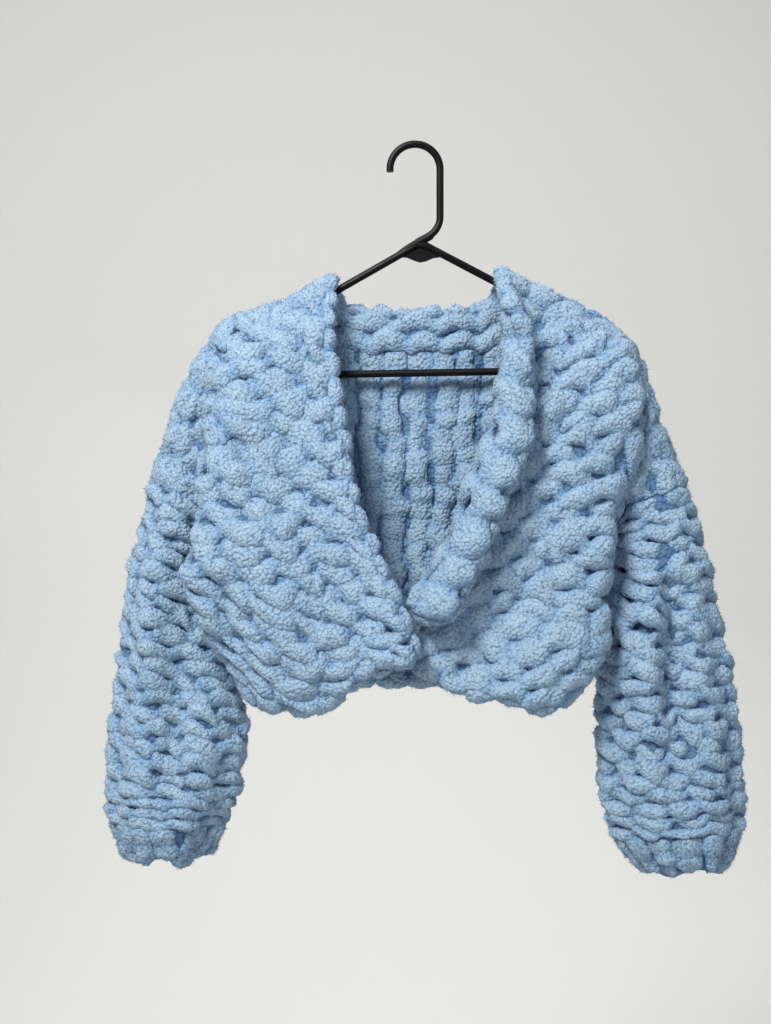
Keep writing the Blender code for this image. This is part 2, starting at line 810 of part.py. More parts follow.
def tilted(point):
    """A point of the hanger's frame, turned about its apex by the tilt."""
    x, z = point[0] - FRAME_X, point[1] - APEX_Z
    turned_x = x * math.cos(FRAME_TILT) - z * math.sin(FRAME_TILT)
    turned_z = x * math.sin(FRAME_TILT) + z * math.cos(FRAME_TILT)
    return (FRAME_X + turned_x, APEX_Z + turned_z)


def hanger_frame_points():
    """The frame's centre line: the apex, then each corner, each turned into an arc."""
    wire = FRAME_WIRE / 2
    shoulder_z = APEX_Z - (FRAME_HALF - wire) * math.tan(ARM_SLOPE)
    corners = [(FRAME_X, APEX_Z)]
    for x, z in ((-1, shoulder_z), (-1, BAR_Z), (1, BAR_Z), (1, shoulder_z)):
        corners.append((FRAME_X + x * (FRAME_HALF - wire), z))
    return [tuple(p) for p in rounded_corners([tilted(c) for c in corners], 11.0, ARC_STEPS)]


def hanger_hook_points():
    """From the hook's tip over its top, down the shank and into the left arm."""
    centre_z = HOOK_WIRE / 2 - HOOK_RADIUS
    points = []
    for degrees in np.linspace(186, 0, 25):
        a = math.radians(degrees)
        points.append((HOOK_RADIUS * math.cos(a), centre_z + HOOK_RADIUS * math.sin(a)))
    bend_x = HOOK_RADIUS - SHANK_BEND
    last_turn = -(math.pi / 2 - ARM_SLOPE - FRAME_TILT)
    for a in np.linspace(0, last_turn, 10):
        points.append((bend_x + SHANK_BEND * math.cos(a), SHANK_END_Z + SHANK_BEND * math.sin(a)))
    end = points[-1]
    points.append((end[0] - 14 * math.cos(ARM_SLOPE), end[1] - 14 * math.sin(ARM_SLOPE)))
    return points


def plate(name, outline, thick):
    """A flat plate in the hanger's plane."""
    work = bmesh.new()
    front = [work.verts.new(Vector((x, -thick / 2, z)) * MM) for x, z in outline]
    face = work.faces.new(front)
    pulled = bmesh.ops.extrude_face_region(work, geom=[face])
    moved = [v for v in pulled["geom"] if isinstance(v, bmesh.types.BMVert)]
    bmesh.ops.translate(work, verts=moved, vec=(0, thick * MM, 0))
    bmesh.ops.recalc_face_normals(work, faces=work.faces)
    mesh = bpy.data.meshes.new(name)
    work.to_mesh(mesh)
    work.free()
    return bpy.data.objects.new(name, mesh)


def short_of(points, clear):
    """A line with both ends drawn back a little, to leave a gap at its neighbours."""
    points = [np.array(p, float) for p in points]
    for end, inner in ((0, 1), (-1, -2)):
        way = points[inner] - points[end]
        points[end] = points[end] + way * (clear / np.linalg.norm(way))
    return [tuple(p) for p in points]


def build_hanger(collection, helpers, look):
    """The hanger in pieces that each stay simple: two arms, the bar, the hook and the web."""
    line = hanger_frame_points()
    arc = ARC_STEPS + 1
    half = ARC_STEPS // 2
    left_arm = line[half: 3 * arc]
    bar = [line[3 * arc - 1], line[3 * arc]]
    right_arm = line[3 * arc: 5 * arc] + line[: half + 1]
    pieces = {
        "hanger_arm_left": tube("hanger_arm_left", short_of(left_arm, 0.45), FRAME_WIRE, False),
        "hanger_arm_right": tube("hanger_arm_right", short_of(right_arm, 0.45), FRAME_WIRE, False),
        "hanger_bar": tube("hanger_bar", short_of(bar, 0.3), FRAME_WIRE, False),
        "hanger_hook": tube("hanger_hook", hanger_hook_points(), HOOK_WIRE, False),
        "hanger_web": plate("hanger_web", [tilted((FRAME_X + x, APEX_Z + z)) for x, z in WEB_OUTLINE], WEB_THICK),
    }
    clearance = tube("arm clearance", line, FRAME_WIRE + 2 * SEAM_GAP, True)
    clearance.hide_render = True
    clearance.display_type = "WIRE"
    helpers.objects.link(clearance)
    for name, piece in pieces.items():
        piece.name = name
        collection.objects.link(piece)
        piece.data.materials.append(look)
        piece.data.shade_smooth()
        piece.data.set_sharp_from_angle(angle=math.radians(50))
        if name in ("hanger_hook", "hanger_web"):
            trim = piece.modifiers.new("clear of the arms", "BOOLEAN")
            trim.operation = "DIFFERENCE"
            trim.object = clearance


def main():
    clear_scene()
    garment = bpy.data.collections.new("bolero")
    helpers = bpy.data.collections.new("helpers")
    for made in (garment, helpers):
        bpy.context.scene.collection.children.link(made)
    cloth = material("knitted chenille", CLOTH_BLUE, 0.95)
    plastic = material("moulded plastic", HANGER_BLACK, 0.4)
    skin = garment_skin()
    for piece in skin.faces:
        points, faces = skin.solid(piece)
        add_mesh(piece, points, faces, garment, cloth)
    build_hanger(garment, helpers, plastic)


main()
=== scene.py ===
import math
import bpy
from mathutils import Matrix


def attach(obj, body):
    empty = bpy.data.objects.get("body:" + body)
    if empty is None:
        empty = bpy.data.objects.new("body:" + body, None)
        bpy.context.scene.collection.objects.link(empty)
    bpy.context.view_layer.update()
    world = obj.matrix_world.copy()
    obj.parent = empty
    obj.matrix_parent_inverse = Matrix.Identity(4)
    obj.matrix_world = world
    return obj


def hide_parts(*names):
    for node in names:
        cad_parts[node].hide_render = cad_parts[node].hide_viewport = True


bl_info = {
    "name": "Chunky knit bolero",
    "version": (1, 0, 0),
    "blender": (4, 5, 0),
    "location": "3D View > Sidebar > Bolero",
    "description": "A cropped bolero in chunky plush knit on its clothes hanger, stitch by stitch",
    "category": "Add Mesh",
}

import bpy
import numpy as np

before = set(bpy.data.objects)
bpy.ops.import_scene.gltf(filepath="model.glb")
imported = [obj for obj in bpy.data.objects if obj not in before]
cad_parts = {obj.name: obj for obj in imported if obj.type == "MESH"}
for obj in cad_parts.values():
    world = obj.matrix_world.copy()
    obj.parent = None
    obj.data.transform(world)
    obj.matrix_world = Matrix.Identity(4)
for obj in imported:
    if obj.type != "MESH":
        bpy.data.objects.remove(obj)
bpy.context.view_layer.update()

MM = 0.001

# The cloth's guide lines are those of the solids, in millimetres: X to the right as seen
# from the front, -Y towards the viewer, Z up, with the origin under the top of the hook.

# Cloth
WALL = 16.0  # thickness of the knitted wall

# Hanger
FRAME_WIRE = 7.5
FRAME_HALF = 196.0  # half the hanger's width
FRAME_X = 5.6  # the frame's middle stands a little to the right of the hook's
APEX_Z = -95.0
BAR_Z = -225.0
ARM_SLOPE = math.radians(28.7)
FRAME_TILT = math.radians(1.0)  # the frame hangs a little low on the left
CORNER_RADIUS = 11.0
ARC_STEPS = 6

# Where the cloth bears on the hanger it is pressed thin
PRESSED_WALL = 11.0
PRESS_REACH = 26.0
RIDGE = FRAME_WIRE / 2 + PRESSED_WALL / 2 + 3.0  # from the wire's axis to the cloth's middle

# Knitted rows and columns of the skin
BODY_ROWS = 21
ARMHOLE_ROWS = 8
BODY_COLUMNS = 13  # from a front's inner edge to its armhole and side seam
NECK_SHARES = [0, 0.04, 0.1, 0.19, 0.29, 0.4, 0.5, 0.6, 0.71, 0.81, 0.9, 0.96, 1]  # columns of the neck
COLLAR_COLUMNS = 8
# Two half rows round the wall over the shoulder and under the arm
ROW_LEVELS = sorted([0.5, ARMHOLE_ROWS - 0.5] + list(range(BODY_ROWS + 1)))
ARM_LEVELS = [r for r in ROW_LEVELS if r <= ARMHOLE_ROWS]

# Each front is drawn through guide lines that run from the shoulder to the hem.
# level is the share of the way down; x, y and z are where the line passes.
LEFT_EDGE = [
    # level, x, y, z: where the collar is joined on
    (0.00, -133, 0, -160), (0.10, -132, -28, -193), (0.25, -124, -42, -252), (0.40, -114, -52, -312),
    (0.55, -101, -60, -370), (0.70, -79, -68, -428), (0.85, -57, -74, -480), (1.00, -46, -72, -516),
]
LEFT_BELLY = [
    # level, x, y, z: the fullest line of the front
    (0.00, -162, 0, -169), (0.10, -166, -30, -204), (0.25, -164, -50, -264), (0.40, -154, -62, -325),
    (0.55, -146, -74, -384), (0.70, -132, -80, -442), (0.85, -118, -80, -502), (1.00, -113, -66, -552),
]
LEFT_FOLD = [
    # level, x, y, z: the front's outermost line, where it folds back to the side
    (0.00, -188, 0, -182), (0.10, -195, -26, -213), (0.25, -197, -40, -268), (0.40, -201, -54, -328),
    (0.55, -212, -60, -388), (0.70, -214, -62, -436), (0.85, -192, -54, -486), (1.00, -162, -42, -530),
]
LEFT_TIP = [
    # level, x, y, z: round the end of the hanger's arm
    (0.00, -206, 0, -208), (0.05, -206, -13, -212), (0.10, -205, -22, -227), (0.20, -203, -28, -264),
    (0.30, -202, -34, -300), (0.381, -201, -37, -334),
]
LEFT_WING = [
    # level, x, y, z: half way down the dropped shoulder
    (0.00, -235, 0, -270), (0.05, -232, -13, -273), (0.10, -228, -18, -279), (0.20, -217, -20, -297),
    (0.30, -205, -19, -320), (0.381, -198, -17, -344),
]
LEFT_SIDE = [
    # level, x, y, z: the side seam, below the underarm
    (0.381, -197, 0, -353), (0.47, -174, -6, -370), (0.55, -163, -10, -396), (0.70, -156, -12, -438),
    (0.85, -156, -8, -486), (1.00, -150, -4, -524),
]
RIGHT_EDGE = [
    (0.00, 140, 0, -154), (0.10, 113, -28, -184), (0.25, 98, -42, -240), (0.40, 86, -50, -296),
    (0.55, 69, -54, -352), (0.70, 47, -54, -408), (0.82, 25, -52, -452), (0.90, 8, -47, -486),
    (1.00, -2, -44, -514),
]
RIGHT_BELLY = [
    (0.00, 168, 0, -169), (0.10, 166, -31, -203), (0.25, 160, -46, -255), (0.40, 152, -52, -312),
    (0.55, 142, -56, -368), (0.70, 128, -56, -428), (0.82, 116, -58, -472), (0.90, 107, -62, -510),
    (1.00, 106, -62, -546),
]
RIGHT_FOLD = [
    (0.00, 198, 0, -184), (0.10, 208, -26, -207), (0.25, 216, -40, -264), (0.40, 208, -46, -326),
    (0.55, 184, -48, -384), (0.70, 174, -48, -438), (0.82, 172, -50, -484), (0.90, 162, -52, -514),
    (1.00, 144, -46, -539),
]
RIGHT_TIP = [
    (0.00, 213, 0, -204), (0.05, 213, -13, -207), (0.10, 213, -20, -221), (0.20, 214, -27, -255),
    (0.30, 213, -30, -296), (0.381, 208, -30, -334),
]
RIGHT_WING = [
    (0.00, 234, 0, -270), (0.05, 233, -14, -272), (0.10, 231, -20, -277), (0.20, 226, -22, -294),
    (0.30, 216, -20, -320), (0.381, 207, -15, -345),
]
RIGHT_SIDE = [
    (0.381, 205, 0, -354), (0.47, 182, -6, -370), (0.55, 167, -10, -398), (0.70, 154, -10, -442),
    (0.82, 148, -8, -482), (0.90, 146, -5, -506), (1.00, 140, -4, -530),
]
LEFT_GUIDES = (LEFT_EDGE, LEFT_BELLY, LEFT_FOLD, LEFT_TIP, LEFT_WING, LEFT_SIDE)
RIGHT_GUIDES = (RIGHT_EDGE, RIGHT_BELLY, RIGHT_FOLD, RIGHT_TIP, RIGHT_WING, RIGHT_SIDE)
# The back is drawn through three guide lines in the same way
BACK_LEFT = [
    (0.00, -133, 0, -161), (0.10, -128, 16, -205), (0.24, -120, 18, -282), (0.38, -112, 18, -350),
    (0.70, -100, 18, -440), (1.00, -96, 14, -531),
]
BACK_MIDDLE = [
    (0.00, 3, 18, -203), (0.30, 3, 20, -310), (0.60, 4, 22, -402), (0.80, 4, 20, -466),
    (1.00, 4, 16, -533),
]
BACK_RIGHT = [
    (0.00, 140, 0, -154), (0.10, 134, 16, -200), (0.24, 126, 18, -280), (0.38, 118, 18, -350),
    (0.70, 104, 18, -440), (1.00, 98, 14, -532),
]
NECK_SCOOP = [
    # x, y, z: the back's neck edge, between the two shoulders
    (-133, 0, -161), (-130, 12, -167), (-123, 17, -179), (-88, 18, -196), (3, 19, -203), (92, 18, -194),
    (129, 17, -173), (137, 12, -160), (140, 0, -154),
]

# The back's columns slide outwards below the two corners of the neck
CORNER_SLIDE = [
    # column, counted from the side, and how far
    (BODY_COLUMNS - 4, 0),
    (BODY_COLUMNS, 9),
    (BODY_COLUMNS + 1, 10),
    (BODY_COLUMNS + 2, 8),
    (BODY_COLUMNS + 5, 0),
]

# Rings of a sleeve, from the armhole to the cuff's end. outer and inner are the ring's
# two ends as seen from the front; front_out, front_mid and front_in are how far its
# front stands out at three places across, and back is how far its back does.
RING_COLUMNS = "outer_x outer_z inner_x inner_z front_out front_mid front_in back".split()
LEFT_RINGS = [
    (-258, -339, -197, -353, 24, 26, 20, 22),
    (-270, -396, -214, -408, 30, 27, 18, 24),
    (-282, -451, -206, -462, 34, 26, 18, 26),
    (-289, -511, -190, -522, 36, 22, 20, 28),
    (-296, -571, -175, -578, 37, 24, 32, 28),
    (-300, -631, -184, -636, 36, 32, 34, 28),
    (-298, -670, -198, -672, 34, 36, 32, 26),
    (-284, -707, -213, -704, 26, 30, 26, 22),
]
RIGHT_RINGS = [
    (267, -341, 205, -354, 22, 26, 22, 22),
    (281, -396, 217, -408, 24, 26, 28, 24),
    (292, -451, 202, -464, 26, 18, 38, 26),
    (305, -511, 193, -524, 28, 18, 42, 28),
    (315, -571, 190, -582, 32, 26, 42, 28),
    (319, -631, 193, -640, 36, 34, 38, 28),
    (321, -676, 206, -684, 34, 36, 34, 26),
    (308, -714, 232, -719, 26, 30, 26, 22),
]
CUFF_RING = 6  # the row of the table where the cuff starts
RINGS_BETWEEN = 3  # rings of the mesh for each row of the table
FRONT_STATIONS = (0.26, 0.5, 0.74)  # where across the ring the three front depths are
RING_END_RADIUS = 15.0  # a ring's two ends are no sharper than this

# The collar: its free edge on the left front and round the neck
LEFT_FREE_EDGE = [
    # level, x, y, z
    (0.00, -82, 0, -132), (0.10, -86, -26, -173), (0.25, -79, -40, -238), (0.40, -70, -50, -298),
    (0.55, -59, -60, -358), (0.70, -35, -68, -416), (0.85, -10, -74, -472), (1.00, -1, -74, -504),
]
NECK_FREE_EDGE = [
    # share of the neck, x, y, z
    (0.00, -82, 0, -132), (0.04, -81, 12, -137), (0.12, -78, 17, -150), (0.30, -56, 19, -161),
    (0.50, 4, 20, -164), (0.70, 62, 19, -160), (0.88, 82, 17, -144), (0.96, 86, 12, -131),
    (1.00, 88, 0, -126),
]
LAPEL = [
    # level, roll in degrees, width: how the collar turns out down the right front
    (0.00, 0, 57), (0.06, 55, 55), (0.12, 115, 52), (0.20, 165, 47), (0.50, 172, 49), (0.70, 172, 51),
    (0.87, 166, 52),
]
ROLL_LENGTH = 37.0  # how much of the collar's width is in the roll
LAPEL_ROWS = 18  # the lapel ends at this row

# Soft troughs pressed into the fronts by the way they hang
TROUGHS = [
    # piece, x and z at the top, x and z at the bottom, half width, depth
    ("front_left", -178, -436, -170, -500, 16, 12),
    ("front_left", -150, -300, -118, -350, 22, 6),
    ("front_right", 122, -290, 104, -440, 24, 10),
    ("front_right", 70, -470, 52, -512, 22, 8),
    ("front_right", 196, -300, 186, -350, 16, 7),
]

# The cloth is eased round these two places, under the arms
UNDERARMS = np.array([(-200.0, -8.0, -351.0), (207.0, -8.0, -352.0)])
EASE = 0.6
EASE_REACH = 52.0
EASE_ROUNDS = 16

# Where the stitches run
WING_START = 0.62  # share of a front's row where the dropped shoulder starts
COLLAR_STRANDS = 2  # lengths of yarn side by side along the collar
ROUNDS_A_LINE = 1.3  # rounds of a sleeve to each ring of its grid
SEAM_PROUD = 1.5  # how much prouder a sleeve's first round stands (mm)
RIB_WIDTH = 18  # of a cuff (mm)
INSIDE_STITCH = 20  # length of a knit stitch on the inside (mm)
FRONT_WALES = 8  # columns of knit stitches inside each front
WALE_EDGE = 12  # the wales inside the back end this far from its sides (mm)
WALE_PLACES = 90  # places down the back at which its wales are drawn
LEAST_WALE = 12  # a wale that passes fewer of those places is left out

# The yarn, in millimetres
CRESCENT_DEPTH = 7.2  # half the depth of a purl stitch
SINK = 2.6  # how far the yarn sinks between two purl stitches
ARCH = 2.2  # how far a purl stitch arches up and down
ROPE_DEPTH = 6.0  # half the depth of a knit stitch
BEYOND = 5.0  # how far the yarn goes past a piece's edge
COARSE_LUMPS = 17.0  # from one coarse lump of the yarn to the next
FINE_LUMPS = 6.5  # from one fine lump to the next
# Where round a purl stitch its points lie: closer on its outer side
OUTER_TURNS = np.radians([-25, 5, 35, 65, 90, 115, 145, 175, 205, 240, 270, 300])
NO_QUADS, NO_TRIANGLES = np.zeros((0, 4), int), np.zeros((0, 3), int)

# The ground under the stitches: its share of the wall, and its faces to each cell of the grid
GROUND_SHARE = 0.55
GROUND_FINER = 2

# Each piece's cut before it was hung: width and length in metres, and area where it is no rectangle
CUTS = {
    "back": (0.66, 0.40, 0.155),
    "front_left": (0.24, 0.40, 0.069),
    "front_right": (0.24, 0.40, 0.075),
    "sleeve_left": (0.29, 0.33, 0.080),
    "sleeve_right": (0.32, 0.34, 0.090),
    "cuff_left": (0.26, 0.048, 0.0094),
    "cuff_right": (0.28, 0.052, 0.0110),
    "collar": (1.15, 0.06, 0.0545),
}


class BoleroSizes(bpy.types.PropertyGroup):
    """Sizes of the knit that a user would change."""

    stitch: bpy.props.FloatProperty(
        name="Stitch width", description="Width of one purl stitch along its row",
        default=0.034, min=0.015, max=0.05, unit="LENGTH", subtype="DISTANCE",
    )
    proud: bpy.props.FloatProperty(
        name="Stitch height", description="How far a purl bump's crown stands from the cloth's middle",
        default=0.0108, min=0.004, max=0.016, unit="LENGTH", subtype="DISTANCE",
    )
    wale: bpy.props.FloatProperty(
        name="Wale width", description="Width of one column of knit stitches inside",
        default=0.0245, min=0.015, max=0.04, unit="LENGTH", subtype="DISTANCE",
    )
    nub: bpy.props.FloatProperty(
        name="Nub size", description="Size of the yarn's plush nubs",
        default=0.0032, min=0.001, max=0.008, unit="LENGTH", subtype="DISTANCE",
    )


class BoleroColours(bpy.types.PropertyGroup):
    """Colours of the yarn, with its painted highlight and painted shade, the hanger and the stage."""

    # A painted highlight: the yarn's colour on the crowns of its stitches and on its pile's tips
    crown: bpy.props.FloatVectorProperty(
        name="Yarn, crowns", description="Colour of the yarn where it catches the light",
        default=(0.35, 0.46, 0.55), min=0, max=1, subtype="COLOR",
    )
    yarn: bpy.props.FloatVectorProperty(
        name="Yarn", description="Colour of the yarn",
        default=(0.166, 0.290, 0.456), min=0, max=1, subtype="COLOR",
    )
    # Painted shade: the yarn's colour deep in the creases between its stitches and between its nubs
    depth: bpy.props.FloatVectorProperty(
        name="Yarn, creases", description="Colour of the yarn deep between the stitches",
        default=(0.032, 0.105, 0.285), min=0, max=1, subtype="COLOR",
    )
    plastic: bpy.props.FloatVectorProperty(
        name="Hanger", description="Colour of the moulded plastic",
        default=(0.0025, 0.0025, 0.003), min=0, max=1, subtype="COLOR",
    )
    stage: bpy.props.FloatVectorProperty(
        name="Stage", description="Colour of the floor and the backdrop",
        default=(0.83, 0.815, 0.77), min=0, max=1, subtype="COLOR",
    )


def through(table, at):
    """Smooth values at the given levels, from rows of (level, value, value, ...).

    Between two rows each value is the cubic whose slopes there are the mean slopes of the table.
    """
    rows = np.array(table, float)
    at = np.atleast_1d(np.asarray(at, float))
    level, value = rows[:, 0], rows[:, 1:]
    step = np.diff(level)[:, None]
    slope = np.diff(value, axis=0) / step
    tangent = np.vstack([slope[:1], (slope[1:] + slope[:-1]) / 2, slope[-1:]])
    i = np.clip(np.searchsorted(level, at, side="right") - 1, 0, len(level) - 2)
    h = step[i]
    t = ((at - level[i]) / h[:, 0])[:, None]
    return (
        (2 * t**3 - 3 * t**2 + 1) * value[i]
        + (t**3 - 2 * t**2 + t) * h * tangent[i]
        + (3 * t**2 - 2 * t**3) * value[i + 1]
        + (t**3 - t**2) * h * tangent[i + 1]
    )


def chord_levels(points):
    """How far along each point lies, measured straight from point to point."""
    return np.concatenate([[0], np.cumsum(np.linalg.norm(np.diff(points, axis=0), axis=1))])


def drawn_curve(points, dense=16):
    """A dense smooth curve through a few points."""
    points = np.asarray(points, float)
    levels = chord_levels(points)
    at = np.concatenate([
        np.linspace(a, b, dense, endpoint=False) for a, b in zip(levels[:-1], levels[1:])
    ] + [levels[-1:]])
    return through(np.column_stack([levels, points]), at)


def spread(curve, shares):
    """Points at the given shares of a dense curve's length."""
    along = chord_levels(curve)
    at = np.asarray(shares, float) * along[-1]
    return np.column_stack([np.interp(at, along, curve[:, i]) for i in range(3)])


def ring_half(row, side, shares):
    """One half of a sleeve's ring, front or back, from its outer end to its inner end."""
    ring = dict(zip(RING_COLUMNS, row))
    outer = np.array([ring["outer_x"], 0.0, ring["outer_z"]])
    inner = np.array([ring["inner_x"], 0.0, ring["inner_z"]])
    across = (inner - outer) / np.linalg.norm(inner - outer)
    if side == "front":
        depths = [-ring["front_out"], -ring["front_mid"], -ring["front_in"]]
    else:
        depths = [ring["back"] * share for share in (0.92, 1.0, 0.92)]
    middle = [outer + s * (inner - outer) + (0, d, 0) for s, d in zip(FRONT_STATIONS, depths)]
    near_outer = round_end(outer, across, depths[0])
    near_inner = round_end(inner, -across, depths[2])
    return spread(drawn_curve([outer, *near_outer, *middle, *near_inner[::-1], inner]), shares)


def round_end(end, inward, depth):
    """Two points that round a ring's end: an eighth and a quarter of the way round it."""
    radius = min(abs(depth), RING_END_RADIUS)
    sign = math.copysign(1.0, depth)
    eighth = end + inward * radius * 0.29 + (0, sign * radius * 0.71, 0)
    quarter = end + inward * radius + (0, sign * radius, 0)
    return [eighth, quarter]


def arm_shares():
    """The shares of the way down the armhole at which its rows lie."""
    return np.array(ARM_LEVELS, float) / ARMHOLE_ROWS


def pressed(points, piece):
    """The points with this piece's troughs pressed in, away from the viewer."""
    points = np.array(points, float)
    for name, x0, z0, x1, z1, half_width, depth in TROUGHS:
        if name != piece:
            continue
        start, way = np.array([x0, z0], float), np.array([x1 - x0, z1 - z0], float)
        flat = points[:, [0, 2]] - start
        along = np.clip(flat @ way / (way @ way), 0, 1)
        away = np.linalg.norm(flat - along[:, None] * way, axis=1) / half_width
        in_front = np.clip((-points[:, 1] - 20) / 25, 0, 1)
        points[:, 1] += depth * np.exp(-(away**2)) * in_front
    return points


def front_rows(piece, edge, belly, fold, tip, wing, side, rings):
    """The front's rows from the shoulder seam to the hem, each from its inner edge outwards."""
    armhole = ring_half(rings[0], "front", arm_shares())
    even = np.linspace(0, 1, BODY_COLUMNS + 1)
    rows = []
    for number, level in enumerate(ROW_LEVELS):
        at = level / BODY_ROWS
        if level <= ARMHOLE_ROWS:
            guides = [through(guide, at)[0] for guide in (edge, belly, fold, tip, wing)]
            curve = drawn_curve([*guides, armhole[number]])
        else:
            guides = [through(guide, at)[0] for guide in (edge, belly, fold, side)]
            curve = drawn_curve(guides)
        row = spread(curve, even)
        row[1:] = pressed(row[1:], piece)
        rows.append(row)
    return np.array(rows)


def back_rows(left, right):
    """The back's rows from its left side to its right one; the top row is the shoulder seam."""
    under = ARM_LEVELS.index(ARMHOLE_ROWS)
    columns = 2 * BODY_COLUMNS + len(NECK_SHARES) - 1
    scoop = spread(drawn_curve(NECK_SCOOP), NECK_SHARES)
    top = np.vstack([left[0][::-1], scoop[1:-1], right[0]])
    rows = []
    for number in range(len(ROW_LEVELS)):
        level = ROW_LEVELS[number] / BODY_ROWS
        guides = [through(guide, level)[0] for guide in (BACK_LEFT, BACK_MIDDLE, BACK_RIGHT)]
        curve = drawn_curve([left[number][-1], *guides, right[number][-1]])
        rows.append(spread(curve, np.linspace(0, 1, columns + 1)))
    # Down to the underarm the rows run evenly from the shoulder seam to the underarm's row,
    # and the cloth rounds from the ridge to its full depth.
    bottom = rows[under]
    from_end = np.minimum(np.arange(columns + 1), np.arange(columns + 1)[::-1])
    depth = np.interp(from_end, [0, 4, 8], [22, 15, 18])
    gathered = np.interp(from_end, [0, 5], [1, 0])
    outward = np.sign(np.arange(columns + 1) - columns / 2)
    ridged = np.interp(from_end, [BODY_COLUMNS, BODY_COLUMNS + 2], [1, 0])
    ends = [ring_half(rings[0], "back", arm_shares()) for rings in (LEFT_RINGS, RIGHT_RINGS)]
    for number, level in enumerate(ARM_LEVELS[:-1]):
        on_ridge = np.interp(level, [0, 0.5, 1, ARMHOLE_ROWS], [0, 0.022, 0.085, 1])
        share = ridged * on_ridge + (1 - ridged) * level / ARMHOLE_ROWS
        row = top + share[:, None] * (bottom - top)
        slide = np.interp(level, [0, 1, 3, ARMHOLE_ROWS], [0, 1, 0.8, 0])
        row[:, 0] += slide * outward * np.interp(from_end, *zip(*CORNER_SLIDE))
        over = np.interp(level, [0, 0.5, 1, 2], [0, 0.62, 0.95, 1])
        under_arm = np.interp(level, [ARMHOLE_ROWS - k for k in (2, 1, 0.5, 0)], [1, 0.9, 0.65, 0])
        full = depth * (1 - gathered * (1 - under_arm))
        row[:, 1] = top[:, 1] * (1 - over) + full * over
        row[0], row[-1] = ends[0][number], ends[1][number]
        rows[number] = row
    rows = np.array(rows)
    below = np.array(ROW_LEVELS) >= ARMHOLE_ROWS
    rows[below, 0], rows[below, -1] = left[below, -1], right[below, -1]
    return rows


def sleeve_rings(rings, first, last, seam=None):
    """Rings of a sleeve between two rows of its table, each running out, front, in, back."""
    shares = arm_shares()
    numbers = np.linspace(first, last, (last - first) * RINGS_BETWEEN + 1)
    table = np.column_stack([np.arange(len(rings)), np.array(rings, float)])
    made = []
    for row in through(table, numbers):
        front = ring_half(row, "front", shares)
        back = ring_half(row, "back", shares)
        made.append(np.vstack([front, back[-2:0:-1], front[:1]]))
    if seam is not None:
        made[0] = seam
    return np.array(made)


def lapel_line(root, toward, out, roll, width):
    """Points across the collar: a roll from the root, then straight to the free edge."""
    toward = toward / np.linalg.norm(toward)
    out = out - (out @ toward) * toward
    out = out / np.linalg.norm(out)
    steps = np.linspace(0, width, COLLAR_COLUMNS + 1)
    turn = max(math.radians(roll), 1e-3)
    radius = ROLL_LENGTH / turn
    angle = np.minimum(steps, ROLL_LENGTH) / radius
    straight = np.maximum(steps - ROLL_LENGTH, 0)
    along = radius * np.sin(angle) + straight * math.cos(turn)
    away = radius * (1 - np.cos(angle)) + straight * math.sin(turn)
    return root + along[:, None] * toward + away[:, None] * out


def collar_lines(left, right, back):
    """Lines across the collar, from the left front's corner round the neck to the lapel's end."""
    lines = []
    flat = np.linspace(0, 1, COLLAR_COLUMNS + 1)[:, None]
    for number in range(len(ROW_LEVELS) - 1, 0, -1):
        free = through(LEFT_FREE_EDGE, ROW_LEVELS[number] / BODY_ROWS)[0]
        root = left[number][0]
        lines.append(root + flat * (free - root))
    for number, share in enumerate(NECK_SHARES):
        free = through(NECK_FREE_EDGE, share)[0]
        root = back[0][BODY_COLUMNS + number]
        lines.append(root + flat * (free - root))
    top = lines[-1][-1] - lines[-1][0]
    for number in range(1, len(ROW_LEVELS)):
        if ROW_LEVELS[number] > LAPEL_ROWS:
            break
        at = ROW_LEVELS[number] / BODY_ROWS
        roll, width = through(LAPEL, at)[0]
        settle = min(at / 0.12, 1.0)
        root = right[number][0]
        across = right[number][0] - right[number][1]
        toward = (1 - settle) * top / np.linalg.norm(top) + settle * across / np.linalg.norm(across)
        lines.append(lapel_line(root, toward, np.array([0.0, -1.0, 0.12]), roll, width))
    return np.array(lines)


def scalloped(row, depth, lobes):
    """The last row with its points moved up and down in lobes, as a knitted hem hangs."""
    row = np.array(row, float)
    share = np.linspace(0, 1, len(row))
    row[:, 2] += depth * np.sin(share * lobes * math.pi * 2 + 0.6) * np.sin(share * math.pi)
    return row


def unit(vectors):
    """The vectors at length 1, and a vector of no length as it is."""
    length = np.linalg.norm(vectors, axis=-1, keepdims=True)
    return np.divide(vectors, length, out=np.zeros_like(vectors), where=length > 1e-9)


def tilted(point):
    """A point of the hanger's frame, turned about its apex by the tilt."""
    x, z = point[0] - FRAME_X, point[1] - APEX_Z
    turned_x = x * math.cos(FRAME_TILT) - z * math.sin(FRAME_TILT)
    turned_z = x * math.sin(FRAME_TILT) + z * math.cos(FRAME_TILT)
    return np.array([FRAME_X + turned_x, APEX_Z + turned_z])


def rounded_corners(corners, radius, steps):
    """A polygon in the hanger's plane with each corner turned into an arc."""
    points = []
    for i, corner in enumerate(corners):
        before, after = unit(corners[i - 1] - corner), unit(corners[(i + 1) % len(corners)] - corner)
        half = math.acos(np.clip(before @ after, -1, 1)) / 2
        reach = radius / math.tan(half)
        centre = corner + unit(before + after) * radius / math.sin(half)
        start, end = corner + before * reach - centre, corner + after * reach - centre
        sweep = math.acos(np.clip(start @ end / radius**2, -1, 1))
        share = np.linspace(0, 1, steps + 1)[:, None]
        arc = np.sin((1 - share) * sweep) * start + np.sin(share * sweep) * end
        points.append(centre + arc / math.sin(sweep))
    return np.vstack(points)


